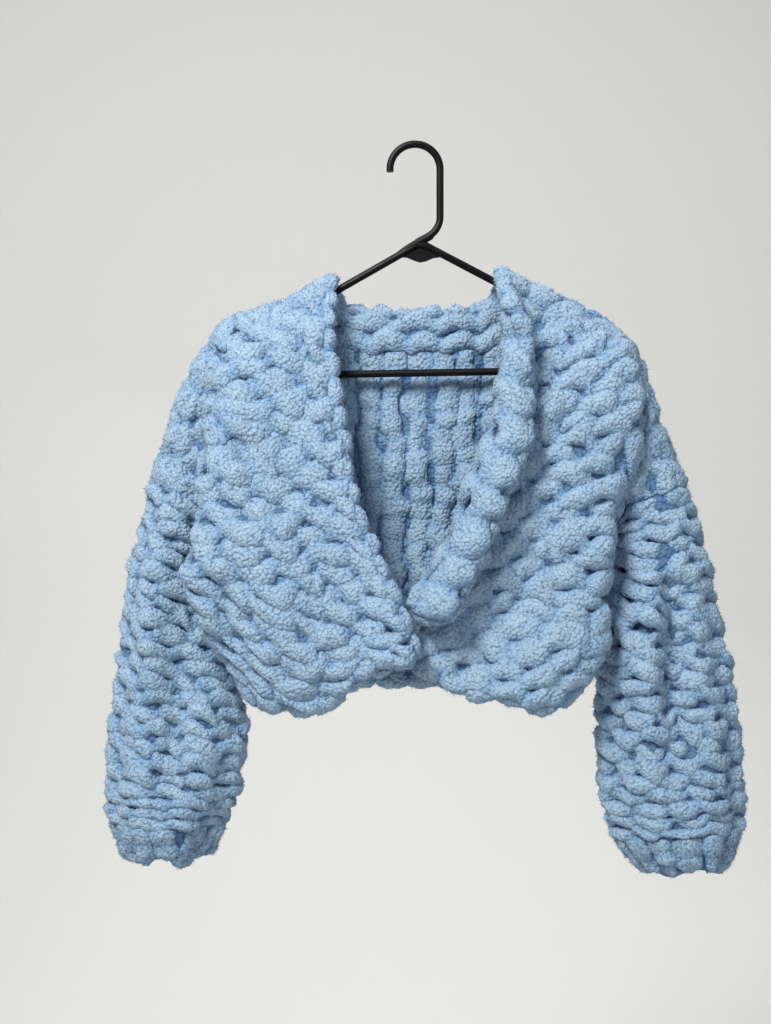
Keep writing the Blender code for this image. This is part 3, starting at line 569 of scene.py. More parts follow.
def hanger_frame_points():
    """The frame's centre line: the apex, then each corner, each turned into an arc."""
    reach = FRAME_HALF - FRAME_WIRE / 2
    shoulder_z = APEX_Z - reach * math.tan(ARM_SLOPE)
    corners = [(0, APEX_Z), (-reach, shoulder_z), (-reach, BAR_Z), (reach, BAR_Z), (reach, shoulder_z)]
    return rounded_corners([tilted((FRAME_X + x, z)) for x, z in corners], CORNER_RADIUS, ARC_STEPS)


def held_off(points):
    """The cloth's middle with points too near the hanger's frame moved off it, and their distance."""
    flat = hanger_frame_points()
    corners = np.column_stack([flat[:, 0], np.zeros(len(flat)), flat[:, 1]])
    points = np.array(points, float)
    for _ in range(2):
        closest = np.full(len(points), np.inf)
        for start, end in zip(corners, np.roll(corners, -1, axis=0)):
            way = end - start
            along = np.clip((points - start) @ way / (way @ way), 0, 1)
            nearest = start + along[:, None] * way
            away = points - nearest
            distance = np.linalg.norm(away, axis=1)
            near = (distance < RIDGE) & (distance > 1e-6)
            points[near] = nearest[near] + away[near] * (RIDGE / distance[near])[:, None]
            closest = np.minimum(closest, np.maximum(distance, RIDGE))
    return points, closest


def grid_quads(rows, columns, round_rows=False, round_columns=False):
    """The faces of a grid of rows by columns of points, closed to a ring along either way."""
    i = np.arange(rows if round_rows else rows - 1)[:, None]
    j = np.arange(columns if round_columns else columns - 1)[None]
    a, b = i * columns, (i + 1) % rows * columns
    k = (j + 1) % columns
    return np.stack([a + j, a + k, b + k, b + j], -1).reshape(-1, 4)


def face_normals(points, faces):
    """Each face's normal, as long as twice its area."""
    a, b, c, d = (points[faces[:, i]] for i in range(4))
    return np.cross(c - a, d - b)


def sides(faces):
    """The four sides of every face, as pairs of points."""
    return np.vstack([faces[:, [i, (i + 1) % 4]] for i in range(4)])


def eased(points, faces):
    """The cloth eased under each arm: each point moves a share of the way to its neighbours' mean."""
    edges = np.unique(np.sort(sides(faces), axis=1), axis=0)
    counts = np.bincount(edges.ravel(), minlength=len(points))[:, None]
    ease = np.zeros(len(points))
    for place in UNDERARMS:
        ease += EASE * np.exp(-(np.linalg.norm(points - place, axis=1) / EASE_REACH) ** 2)
    for _ in range(EASE_ROUNDS):
        sums = np.zeros_like(points)
        np.add.at(sums, edges[:, 0], points[edges[:, 1]])
        np.add.at(sums, edges[:, 1], points[edges[:, 0]])
        points = points + ease[:, None] * (sums / counts - points)
    return points


def garment_patches():
    """Each piece's grid of points, outward normals and half the wall's thickness.

    The grids are welded where they share points, eased, held off the hanger, and each point's
    normal is the mean of the faces round it, over every piece that meets there.
    """
    left = front_rows("front_left", *LEFT_GUIDES, LEFT_RINGS)
    right = front_rows("front_right", *RIGHT_GUIDES, RIGHT_RINGS)
    left[-1], right[-1] = scalloped(left[-1], 5, 2.5), scalloped(right[-1], 5, 2.5)
    back = back_rows(left, right)
    grids = {"front_left": (left, 1), "front_right": (right, -1), "back": (back, 1)}
    armhole = len(ARM_LEVELS)
    for name, rings, front, end, way in (
        ("left", LEFT_RINGS, left, 0, -1), ("right", RIGHT_RINGS, right, -1, 1)
    ):
        front_end, back_end = front[:armhole, -1], back[:armhole, end]
        seam = np.vstack([front_end, back_end[-2:0:-1], front_end[:1]])
        upper = sleeve_rings(rings, 0, CUFF_RING, seam)
        lower = sleeve_rings(rings, CUFF_RING, len(rings) - 1)
        lower[0] = upper[-1]
        around = np.arange(lower.shape[1] - 1) / (lower.shape[1] - 1) * math.pi * 2
        lower[-1][:-1, 2] += 4 * np.sin(around * 5 + 0.4)
        lower[-1][-1] = lower[-1][0]
        grids["sleeve_" + name] = (upper, way)
        grids["cuff_" + name] = (lower, way)
    grids["collar"] = (collar_lines(left, right, back), 1)
    stacked = np.vstack([grid.reshape(-1, 3) for grid, _ in grids.values()])
    _, first, place = np.unique(np.round(stacked, 3) + 0.0, axis=0, return_index=True, return_inverse=True)
    points, place = stacked[first], place.ravel()
    faces, numbers, base = [], {}, 0
    for name, (grid, way) in grids.items():
        number = place[base: base + grid.shape[0] * grid.shape[1]].reshape(grid.shape[:2])
        base += number.size
        numbers[name] = number
        quads = number.ravel()[grid_quads(*number.shape)][:, ::way]
        whole = (np.diff(np.sort(quads, axis=1), axis=1) > 0).all(axis=1)
        faces.append(quads[whole])
    faces = np.vstack(faces)
    points = eased(points, faces)
    points, distance = held_off(points)
    near = np.exp(-((np.maximum(distance - RIDGE, 0) / PRESS_REACH) ** 2))
    half_wall = (WALL - (WALL - PRESSED_WALL) * near) / 2
    normals = np.zeros_like(points)
    np.add.at(normals, faces.ravel(), np.repeat(face_normals(points, faces), 4, axis=0))
    normals = unit(normals)
    return {
        name: np.concatenate([points[n], normals[n], half_wall[n][..., None]], axis=-1)
        for name, n in numbers.items()
    }


CLOTH = garment_patches()
# The left front's rows run on across the collar, so the two are one cloth for its stitches
CLOTH["left_whole"] = np.concatenate(
    [CLOTH["collar"][len(ROW_LEVELS) - 1:: -1, :0:-1], CLOTH["front_left"]], axis=1
)
ROUND = ("sleeve_left", "sleeve_right", "cuff_left", "cuff_right")


def cubic_weights(f):
    """Weights of the four neighbours in a smooth curve through the middle two."""
    return np.stack([
        -0.5 * f + f**2 - 0.5 * f**3,
        1 - 2.5 * f**2 + 1.5 * f**3,
        0.5 * f + 2 * f**2 - 1.5 * f**3,
        -0.5 * f**2 + 0.5 * f**3,
    ])


def on_cloth(piece, row, column):
    """Point, outward normal and half wall at fractional rows and columns of a piece's grid."""
    grid = CLOTH[piece]
    row, column = np.broadcast_arrays(np.asarray(row, float), np.asarray(column, float))
    row = np.clip(row, 0, grid.shape[0] - 1)
    r = np.minimum(row.astype(int), grid.shape[0] - 2)
    rows = np.clip(np.stack([r - 1, r, r + 1, r + 2]), 0, grid.shape[0] - 1)
    if piece in ROUND:
        turns = grid.shape[1] - 1
        c = np.floor(column).astype(int)
        columns = np.stack([c - 1, c, c + 1, c + 2]) % turns
    else:
        column = np.clip(column, 0, grid.shape[1] - 1)
        c = np.minimum(column.astype(int), grid.shape[1] - 2)
        columns = np.clip(np.stack([c - 1, c, c + 1, c + 2]), 0, grid.shape[1] - 1)
    by_row, by_column = cubic_weights(row - r), cubic_weights(column - c)
    value = 0
    for i in range(4):
        for j in range(4):
            value = value + (by_row[i] * by_column[j])[..., None] * grid[rows[i], columns[j]]
    return value[..., :3], unit(value[..., 3:6]), value[..., 6]


def row_of(level):
    """The grid row at a knitted row's level: the grid has two half rows more."""
    return np.interp(level, ROW_LEVELS, np.arange(len(ROW_LEVELS)))


def square_to(vectors, way):
    """The vectors with their share along a unit vector taken out, at unit length."""
    return unit(vectors - (vectors * way).sum(-1, keepdims=True) * way)


def smooth_step(x, low, high):
    """From 0 at low to 1 at high as 3 t squared less 2 t cubed."""
    t = np.clip((x - low) / (high - low), 0, 1)
    return t * t * (3 - 2 * t)


class Course:
    """A line on the cloth along which one length of yarn is worked.

    row and column are its places on the piece's grid, and side_row and side_column are
    half the way to the next length of yarn beside it.
    """

    def __init__(self, piece, row, column, side_row, side_column, closed=False):
        self.piece, self.closed = piece, closed
        self.row, self.column, self.side_row, self.side_column = np.broadcast_arrays(
            np.asarray(row, float), np.asarray(column, float), side_row, side_column
        )
        place = on_cloth(piece, self.row, self.column)[0]
        self.along = chord_levels(place)
        self.length = self.along[-1]

    def places(self, along):
        """Row, column and the half way beside them at lengths along the line."""
        lines = (self.row, self.column, self.side_row, self.side_column)
        return [np.interp(along, self.along, line) for line in lines]

    def beside(self, along):
        """The points half way to the next length of yarn on one side and on the other."""
        row, column, side_row, side_column = self.places(along)
        one = on_cloth(self.piece, row + side_row, column + side_column)[0]
        other = on_cloth(self.piece, row - side_row, column - side_column)[0]
        return one, other

    def at(self, along):
        """Point, normal, tangent, half wall and half spacing at lengths along the line."""
        row, column, _, _ = self.places(along)
        place, normal, half_wall = on_cloth(self.piece, row, column)
        near = []
        for step in (self.length * 0.002, -self.length * 0.002):
            there = (along + step) % self.length if self.closed else np.clip(along + step, 0, self.length)
            near.append(on_cloth(self.piece, *self.places(there)[:2])[0])
        tangent = unit(near[0] - near[1])
        one, other = self.beside(along)
        spacing = np.linalg.norm(one - other, axis=-1) / 2
        return place, square_to(normal, tangent), tangent, half_wall, spacing


# Fuller places, as the front view shows them, for the pieces named:
# x, z, how wide, how much prouder the stitches stand (mm)
FULLER = {
    ("sleeve_right",): (
        (203, -385, 30, 9.0), (204, -430, 30, 9.0), (206, -480, 30, 8.0), (208, -525, 26, 7.0),
        (200, -340, 26, 6.0), (196, -412, 22, 5.0), (194, -450, 22, 5.0),
    ),
    ("collar",): ((30, -462, 40, 7.0), (50, -410, 32, 5.0), (66, -352, 30, 5.0), (76, -300, 30, 4.0)),
    ("front_right",): (
        (180, -395, 20, 8.0), (184, -420, 22, 6.0), (176, -490, 26, 5.0), (108, -538, 36, 8.0),
        (184, -452, 20, 5.0), (194, -416, 18, 4.0),
    ),
    ("front_left", "left_whole"): (
        (-19, -498, 34, 9.0), (-70, -520, 24, 5.0), (-140, -545, 26, 6.0), (-215, -360, 22, 6.0),
        (-222, -420, 22, 5.0), (-170, -225, 22, 4.0), (-180, -275, 22, 5.5), (-190, -325, 22, 6.0),
    ),
    # Creases between folds, where the stitches lie deeper
    ("front_left", "left_whole", "sleeve_left"): (
        (-197, -245, 11, -5), (-202, -270, 11, -7), (-208, -295, 11, -8), (-214, -320, 11, -8),
        (-219, -343, 11, -8),
    ),
    ("front_right", "sleeve_right"): (
        (221, -285, 11, -5), (227, -310, 11, -7), (232, -335, 11, -7), (238, -360, 11, -8),
        (242, -385, 11, -8), (245, -410, 11, -8), (247, -435, 11, -7), (249, -460, 11, -6),
        (250, -485, 11, -5), (251, -510, 11, -4),
    ),
}


def fuller(piece, points):
    """How much prouder the stitches stand at each point: rounded humps at the places in FULLER."""
    extra = np.zeros(points.shape[:-1])
    places = [place for pieces, table in FULLER.items() if piece in pieces for place in table]
    for x, z, width, more in places:
        away = ((points[..., 0] - x) ** 2 + (points[..., 2] - z) ** 2) / width ** 2
        extra += more * np.exp(-away) * smooth_step(-points[..., 1], -30, 0)
    return extra


def wrapped(course, along, lateral, height, side):
    """Rings laid over the curved cloth: each point lies lateral across the row and height above it.

    It is taken on the cloth itself, and past the piece's edge straight on from there, up to
    BEYOND.
    """
    _, normal, tangent, _, spacing = course.at(along)
    binormal = np.cross(normal * side, tangent)
    one, other = course.beside(along)
    way = np.sign(((one - other) * binormal).sum(-1).mean())
    share = way * lateral / np.maximum(spacing, 3.0)[:, None]
    row, column, side_row, side_column = (values[:, None] for values in course.places(along))
    shape = CLOTH[course.piece].shape
    kept = share
    if np.abs(course.side_row).max() > 0:
        kept = np.clip(kept, -row / side_row, (shape[0] - 1 - row) / side_row)
    if np.abs(course.side_column).max() > 0 and course.piece not in ROUND:
        kept = np.clip(kept, -column / side_column, (shape[1] - 1 - column) / side_column)
    place, normal, _ = on_cloth(course.piece, row + kept * side_row, column + kept * side_column)
    beyond = np.clip(way * (share - kept) * spacing[:, None], -BEYOND, BEYOND)
    if side > 0 or course.piece == "collar":
        height = height + fuller(course.piece, place)
    return place + side * normal * height[..., None] + binormal[:, None] * beyond[..., None]


def per_stitch(rng, count, t, closed):
    """A seeded value for each stitch at its middle, running smoothly from one to the next."""
    values = rng.normal(0, 1, count)
    low = np.floor(t - 0.5).astype(int)
    share = smooth_step(t - 0.5 - low, 0.15, 0.85)
    ends = [n % count if closed else np.clip(n, 0, count - 1) for n in (low, low + 1)]
    return values[ends[0]] * (1 - share) + values[ends[1]] * share


def worked(course, stitch, rng, vary, stations, half=0):
    """The stitches along a line: how many, the stations' places in stitches, and their lengths along.

    The stitches' widths vary by up to vary of their mean. half starts an open line with half
    a stitch, and turns a round by half a stitch.
    """
    count = max(int(round(course.length / stitch)), 2)
    widths = 1 + rng.uniform(-vary, vary, count)
    if half and not course.closed:
        widths[0] *= 0.5
    edges = np.concatenate([[0], np.cumsum(widths)]) / widths.sum() * course.length
    t = np.linspace(0, count, count * stations + 1)
    if course.closed:
        t = t[:-1]
    along = np.interp(t, np.arange(count + 1), edges)
    if course.closed:
        along = (along + 0.5 * half * stitch) % course.length
    return count, t, along


def rings_round(centre, normal, binormal, deep, wide, turns):
    """At each station a ring: centre + normal * deep * sin(a) + binormal * wide * cos(a)."""
    up, across = (deep * np.sin(turns))[..., None], (wide * np.cos(turns))[..., None]
    return centre[:, None] + normal[:, None] * up + binormal[:, None] * across


def skinned(ring, closed, tip):
    """A tube through rings of points, its open ends closed by a point, tip beyond the last ring."""
    stations, around = ring.shape[:2]
    centre = ring.mean(axis=1)
    points = ring.reshape(-1, 3)
    quads = grid_quads(stations, around, closed, True)
    if closed:
        return points, quads, NO_TRIANGLES
    ends = [
        centre[0] + tip * unit(centre[0] - centre[1]), centre[-1] + tip * unit(centre[-1] - centre[-2])
    ]
    j = np.arange(around)
    k = (j + 1) % around
    first, last = stations * around, (stations - 1) * around
    caps = np.vstack([
        np.stack([np.full(around, first), k, j], -1),
        np.stack([np.full(around, first + 1), last + j, last + k], -1),
    ])
    return np.vstack([points, ends]), quads, caps


def lumpiness(points, wavelength, seed):
    """Soft lumps in space: a sum of sine waves in seeded directions, from about -1 to 1."""
    rng = np.random.default_rng(seed)
    ways = unit(rng.normal(size=(14, 3))) * (2 * np.pi / wavelength * rng.uniform(0.75, 1.4, (14, 1)))
    shifts = rng.uniform(0, 2 * np.pi, 14)
    return np.sin(points @ ways.T + shifts).sum(-1) / 4.2


def crescents(
    course, stitch, seed, proud, side=1, tilt=3.8, plump=1.52, half=0, taper=False, bulk=0.0,
):
    """One length of yarn worked in purl stitches: a row of plump crescents.

    With f the place within a stitch, from 0 to 1, the yarn swells as sin(pi f) to the power
    0.6, sinks between stitches, arches up and down as cos(2 pi f), and climbs across the row
    as a softened saw tooth, tilt high. half starts the row with half a stitch, taper draws
    its ends in, and bulk makes its second half stand that much prouder.
    """
    rng = np.random.default_rng(seed)
    count, t, along = worked(course, stitch, rng, 0.3, 12, half)
    _, _, _, half_wall, spacing = course.at(along)
    f = t - np.floor(t)
    swell = np.sin(np.pi * np.clip(f, 0, 1)) ** 0.6
    saw = -(0.75 * np.sin(2 * np.pi * f) + 0.33 * np.sin(4 * np.pi * f) + 0.12 * np.sin(6 * np.pi * f))
    random = [per_stitch(rng, count, t, course.closed) for _ in range(5)]
    room = np.clip((spacing - 3.0) / 4.5, 0.1, 1.2)
    wide = np.clip(spacing, 5.0, 14.0) * plump * (0.80 + 0.20 * swell) * (1 + 0.12 * random[1])
    thin = np.minimum(half_wall / (WALL / 2), 1.0)
    top = thin * (proud + bulk * smooth_step(along / course.length, 0.42, 0.6)) * (1 + 0.12 * random[2])
    deep = (0.78 + 0.22 * swell) * CRESCENT_DEPTH * thin
    if taper:
        from_end = np.minimum(along, course.length - along)
        ended = 0.3 + 0.7 * smooth_step(from_end, -4, 20)
        wide, deep, top = wide * ended, deep * ended, top - 10 * (1 - ended)
    sink = SINK * np.minimum(room, 1.0) * (1 + 0.5 * random[4]) * (1 - swell)
    arch = ARCH * (1 + 0.4 * random[3]) * np.cos(2 * np.pi * f)
    shift = room * (tilt * (1 + 0.5 * random[0]) * saw - arch) + 0.8 * random[3]
    lateral = shift[:, None] + wide[:, None] * np.cos(OUTER_TURNS)
    height = (top - CRESCENT_DEPTH * thin - sink)[:, None] + deep[:, None] * np.sin(OUTER_TURNS)
    ring = wrapped(course, along, lateral, height, side)
    # Painted light and shade: the crown value is high on the ring's outward top and at each stitch's swell,
    # and low at its sides and between stitches, where shade falls
    crown = (0.35 + 0.65 * np.clip(np.sin(OUTER_TURNS), 0, 1)[None] ** 0.8) * (0.5 + 0.5 * swell)[:, None]
    return yarn_length(ring, course.closed, 3.0, crown, 0.5)


def yarn_length(ring, closed, tip, crown, end_crown, coarse=1.1):
    """One length of yarn through rings of points, with coarse and fine lumps and its crown values, which
    paint light and shade into its colour.
    """
    middle = ring.mean(axis=1, keepdims=True)
    move = coarse * lumpiness(ring, COARSE_LUMPS, 11) + 0.6 * lumpiness(ring, FINE_LUMPS, 12)
    lumpy = ring + unit(ring - middle) * move[..., None]
    points, quads, caps = skinned(ring, closed, tip)
    points[: len(points) if closed else -2] = lumpy.reshape(-1, 3)
    return points, quads, caps, np.append(crown, [] if closed else [end_crown] * 2)


def joined(parts):
    """Points, quads, triangles and crown values of several lengths of yarn as one mesh's arrays."""
    points, quads, caps, crowns = zip(*parts)
    bases = np.cumsum([0] + [len(p) for p in points[:-1]])
    quads, caps = ([f + base for f, base in zip(faces, bases)] for faces in (quads, caps))
    return np.vstack(points), np.vstack(quads), np.vstack(caps), np.concatenate(crowns)


def mesh_object(name, points, quads, triangles, crown, material):
    """A mesh object from whole arrays of points (mm), four-sided and three-sided faces."""
    mesh = bpy.data.meshes.new(name)
    loops = np.concatenate([quads.ravel(), triangles.ravel()]).astype(np.int32)
    sizes = np.concatenate([np.full(len(quads), 4), np.full(len(triangles), 3)]).astype(np.int32)
    starts = np.concatenate([[0], np.cumsum(sizes)[:-1]]).astype(np.int32)
    mesh.vertices.add(len(points))
    mesh.loops.add(len(loops))
    mesh.polygons.add(len(sizes))
    mesh.vertices.foreach_set("co", (np.asarray(points) * MM).astype(np.float32).ravel())
    mesh.loops.foreach_set("vertex_index", loops)
    mesh.polygons.foreach_set("loop_start", starts)
    mesh.polygons.foreach_set("use_smooth", np.full(len(sizes), True))
    if crown is not None:
        # The crown values are painted light and shade: the yarn's material turns them into paler and darker
        # colour
        layer = mesh.attributes.new("crown", "FLOAT", "POINT")
        layer.data.foreach_set("value", np.asarray(crown, np.float32))
    mesh.update()
    mesh.validate()
    mesh.materials.append(material)
    made = bpy.data.objects.new(name, mesh)
    bpy.context.scene.collection.objects.link(made)
    return made


def body_courses(piece):
    """The rows of a front or of the back, from the shoulder to the hem.

    Every second row ends where the dropped shoulder starts, because the cloth is shorter
    there, and the others run on down the arm, wider.
    """
    last = CLOTH[piece].shape[1] - 1
    share = np.linspace(0, 1, 240)
    made = []
    for number in range(BODY_ROWS):
        level = number + 0.5
        to_end = np.minimum(share, 1 - share) if piece == "back" else 1 - share
        to_end = to_end * last / BODY_COLUMNS
        wing = 1 - smooth_step(to_end, 1 - WING_START - 0.14, 1 - WING_START + 0.06)
        keep = np.full(240, True)
        levels, half = np.full(240, level), np.full(240, 0.5)
        if number < ARMHOLE_ROWS and number % 2:
            keep = wing < 0.5
        elif number < ARMHOLE_ROWS:
            levels, half = level + 0.5 * wing, 0.5 * (1 + wing)
        beside = (row_of(levels + half) - row_of(levels - half)) / 2
        made.append(Course(piece, row_of(levels)[keep], share[keep] * last, beside[keep], 0.0))
    return made


def shoulder_course(piece):
    """The line over the shoulder, from the neck to the armhole."""
    last = CLOTH[piece].shape[1] - 1
    return Course(piece, 0.0, np.linspace(0, last, 200), 2.0, 0.0)


def sleeve_courses(piece):
    """The rounds of a sleeve, from the armhole to the cuff."""
    share = np.linspace(0, 1, 160)
    turns = CLOTH[piece].shape[1] - 1
    lines = CLOTH[piece].shape[0] - 1
    rounds = int(round(lines * ROUNDS_A_LINE))
    half = lines / rounds / 2
    return [
        Course(piece, (2 * number + 1) * half, share * turns, half, 0.0, closed=True)
        for number in range(rounds)
    ]


def collar_courses():
    """Broad lengths of yarn along the collar, round the neck and down to the lapel's end."""
    lines = CLOTH["collar"].shape[0] - 1
    first = len(ROW_LEVELS) - 2.0
    width = COLLAR_COLUMNS / COLLAR_STRANDS
    return [
        Course("collar", np.linspace(first, lines, 400), (number + 0.5) * width, 0.0, width / 2)
        for number in range(COLLAR_STRANDS)
    ]


def collar_rows():
    """The left front's rows where they run on across the collar, from the front to its free edge."""
    made = []
    column = np.linspace(0, COLLAR_COLUMNS, 60)
    for number in range(BODY_ROWS):
        level = number + 0.5
        line = len(ROW_LEVELS) - 1 - row_of(level)
        beside = (row_of(level + 0.5) - row_of(level - 0.5)) / 2
        made.append(Course("collar", line, column, beside, 0.0))
    return made


def bound_edge(piece, row, column, out, stitch, seed, wide, deep):
    """The chain along a free edge: plump stitches as deep as the wall, a little beyond the edge.

    out is the way off the cloth, worked out from the cloth a little inside the edge.
    """
    course = Course(piece, row, column, 0.0, 0.0)
    rng = np.random.default_rng(seed)
    count, t, along = worked(course, stitch, rng, 0.15, 10)
    place, normal, tangent, half_wall, _ = course.at(along)
    inner_row, inner_column, _, _ = course.places(along)
    inner = on_cloth(piece, inner_row - out[0], inner_column - out[1])[0]
    outward = square_to(place - inner, tangent)
    normal = square_to(normal, outward)
    swell = np.sin(np.pi * (t - np.floor(t))) ** 0.55
    random = [per_stitch(rng, count, t, False)[:, None] for _ in range(3)]
    size = (0.66 + 0.34 * swell[:, None]) * (1 + 0.07 * random[0])
    thin = np.minimum(half_wall / (WALL / 2), 1.0)[:, None]
    beyond = 0.8 * random[1] * swell[:, None] - 1.6 * (1 - swell[:, None])
    centre = place + outward * beyond + normal * (0.6 * random[2])
    turns = np.radians(np.arange(0, 360, 30))
    ring = rings_round(centre, normal, np.cross(normal, tangent), deep * size * thin, wide * size, turns)
    # Painted light and shade: each chain stitch's crown value is high at its swell and low between stitches,
    # and 0.8 at the ends
    return yarn_length(ring, False, 3.5, np.repeat(0.3 + 0.65 * swell, len(turns)), 0.8)


def wale_ropes(lines, stitch, seed, proud, side=-1, turns=8, ragged=0.0):
    """The knit side: one rope for each column of stitches, a rounded tube along the column.

    The rope swells as sin(pi f) to the power 0.7 at every stitch, and its stitches vary in
    length, width and height, and wander to both sides. With ragged, the ropes' ends are
    rounded and hang lower or higher by up to that much.
    """
    parts = []
    angles = np.linspace(0, 2 * np.pi, turns, endpoint=False)
    for number, course in enumerate(lines):
        rng = np.random.default_rng(seed + number)
        count, t, along = worked(course, stitch, rng, 0.4, 6)
        _, _, _, half_wall, spacing = course.at(along)
        random = [per_stitch(rng, count, t, False) for _ in range(3)]
        swell = np.sin(np.pi * (t - np.floor(t))) ** 0.7
        thin = np.minimum(half_wall / (WALL / 2), 1)
        wide = spacing * 1.06 * (0.91 + 0.09 * swell) * (1 + 0.17 * random[0])
        deep = ROPE_DEPTH * (0.9 + 0.1 * swell) * thin
        middle = thin * (proud - ROPE_DEPTH) + 1.1 * random[1] - 0.6 * (1 - swell)
        lateral = (2.6 * random[2])[:, None] + wide[:, None] * np.cos(angles)
        height = middle[:, None] + deep[:, None] * np.sin(angles)
        ring = wrapped(course, along, lateral, height, side)
        if ragged:
            from_end = np.clip((course.length - along) / 9.0, 0, 1)
            closing = 0.45 + 0.55 * np.sqrt(1 - (1 - from_end) ** 2)
            centre = ring.mean(axis=1, keepdims=True)
            more = ragged * rng.uniform(-0.6, 1.0) * smooth_step(along / course.length, 0.5, 1.0)
            down = course.at(course.length)[2] * more[:, None, None]
            ring = centre + closing[:, None, None] * (ring - centre) + down
        # Painted light and shade: each rope's crown value is high on its outward side and at each stitch's
        # swell, and low at its sides and between stitches
        crown = np.clip(np.sin(angles), 0, 1)[None] ** 0.7 * (0.68 + 0.32 * swell)[:, None]
        parts.append(yarn_length(ring, False, 3.0, crown, 0.5, 1.2))
    return parts


def upright_lines(piece, gap):
    """Lines straight down the back at even distances across it, as far as the cloth is that wide."""
    rows = np.linspace(0.02, CLOTH[piece].shape[0] - 1, WALE_PLACES)
    columns = np.linspace(0, CLOTH[piece].shape[1] - 1, 260)
    place = on_cloth(piece, rows[:, None], columns[None])[0]
    made = []
    for x in np.arange(-8, 9) * gap + 4.0:
        column = np.array([np.interp(x, line[:, 0], columns) for line in place])
        inside = np.where((place[:, 0, 0] + WALE_EDGE < x) & (place[:, -1, 0] - WALE_EDGE > x))[0]
        if len(inside) < LEAST_WALE:
            continue
        keep = np.arange(inside[0], inside[-1] + 1)
        ends = [[np.interp(at, line[:, 0], columns) for line in place] for at in (x + gap / 2, x - gap / 2)]
        side = np.subtract(*ends) / 2
        made.append(Course(piece, rows[keep], column[keep], 0.0, side[keep]))
    return made


def down_lines(piece, count, first_row=0.2):
    """Lines from the top of a piece to its end, at even shares across it."""
    rows = np.linspace(first_row, CLOTH[piece].shape[0] - 1, 80)
    half = (CLOTH[piece].shape[1] - 1) / count / 2
    return [Course(piece, rows, (n + 0.5) * 2 * half, 0.0, half) for n in range(count)]


def ground(name, piece, material):
    """The piece's ground: the cloth's middle surface given a thin wall, closed along its edges."""
    grid = CLOTH[piece]
    rows, columns = (np.linspace(0, n - 1, (n - 1) * GROUND_FINER + 1) for n in grid.shape[:2])
    closed = piece in ROUND
    if closed:
        columns = columns[:-1]
    place, normal, half_wall = on_cloth(piece, rows[:, None], columns[None])
    half = (half_wall * GROUND_SHARE - 0.6)[..., None]
    points = np.vstack([(place + normal * half).reshape(-1, 3), (place - normal * half).reshape(-1, 3)])
    n = len(points) // 2
    top = grid_quads(*place.shape[:2], False, closed)
    if (face_normals(points, top) * normal.reshape(-1, 3)[top[:, 0]]).sum(-1).mean() < 0:
        top = top[:, ::-1]
    edge = sides(top)
    _, first, counts = np.unique(np.sort(edge, axis=1), axis=0, return_index=True, return_counts=True)
    start, end = edge[first[counts == 1]].T
    rim = np.column_stack([end, start, start + n, end + n])
    quads = np.vstack([top, top[:, ::-1] + n, rim])
    # A crown value of 0.1 paints the ground dark, as painted shade under the stitches
    return mesh_object(name, points, quads, NO_TRIANGLES, np.full(len(points), 0.1), material)


def new_material(name):
    """A new material, its node tree and its shader, with Object coordinates ready to link."""
    made = bpy.data.materials.new(name)
    made.use_nodes = True
    tree = made.node_tree
    coords = node(tree, "ShaderNodeTexCoord", -1500, 0)
    return made, tree, tree.nodes["Principled BSDF"], coords.outputs["Object"]


def node(tree, kind, x, y, sockets=(), **settings):
    """A node at x, y in the editor, with values on its sockets and its other settings."""
    made = tree.nodes.new(kind)
    made.location = (x, y)
    for key, value in settings.items():
        setattr(made, key, value)
    for key, value in dict(sockets).items():
        made.inputs[key].default_value = value
    return made


def texture(tree, coords, kind, y, sockets, **settings):
    """A texture node on Object coordinates."""
    made = node(tree, "ShaderNodeTex" + kind, -1200, y, sockets, **settings)
    tree.links.new(coords, made.inputs["Vector"])
    return made


def sum_node(tree, x, y, share, value, plus):
    """A Math node: value times share, plus another output or a constant."""
    made = node(tree, "ShaderNodeMath", x, y, {1: share}, operation="MULTIPLY_ADD")
    tree.links.new(value, made.inputs[0])
    if isinstance(plus, float):
        made.inputs[2].default_value = plus
    else:
        tree.links.new(plus, made.inputs[2])
    return made.outputs["Value"]


def bumped(tree, shader, height, strength, distance):
    """A bump of that strength and distance (m) on the shader's normal."""
    bump = node(tree, "ShaderNodeBump", -220, -260, {"Strength": strength, "Distance": distance})
    tree.links.new(height, bump.inputs["Height"])
    tree.links.new(bump.outputs["Normal"], shader.inputs["Normal"])


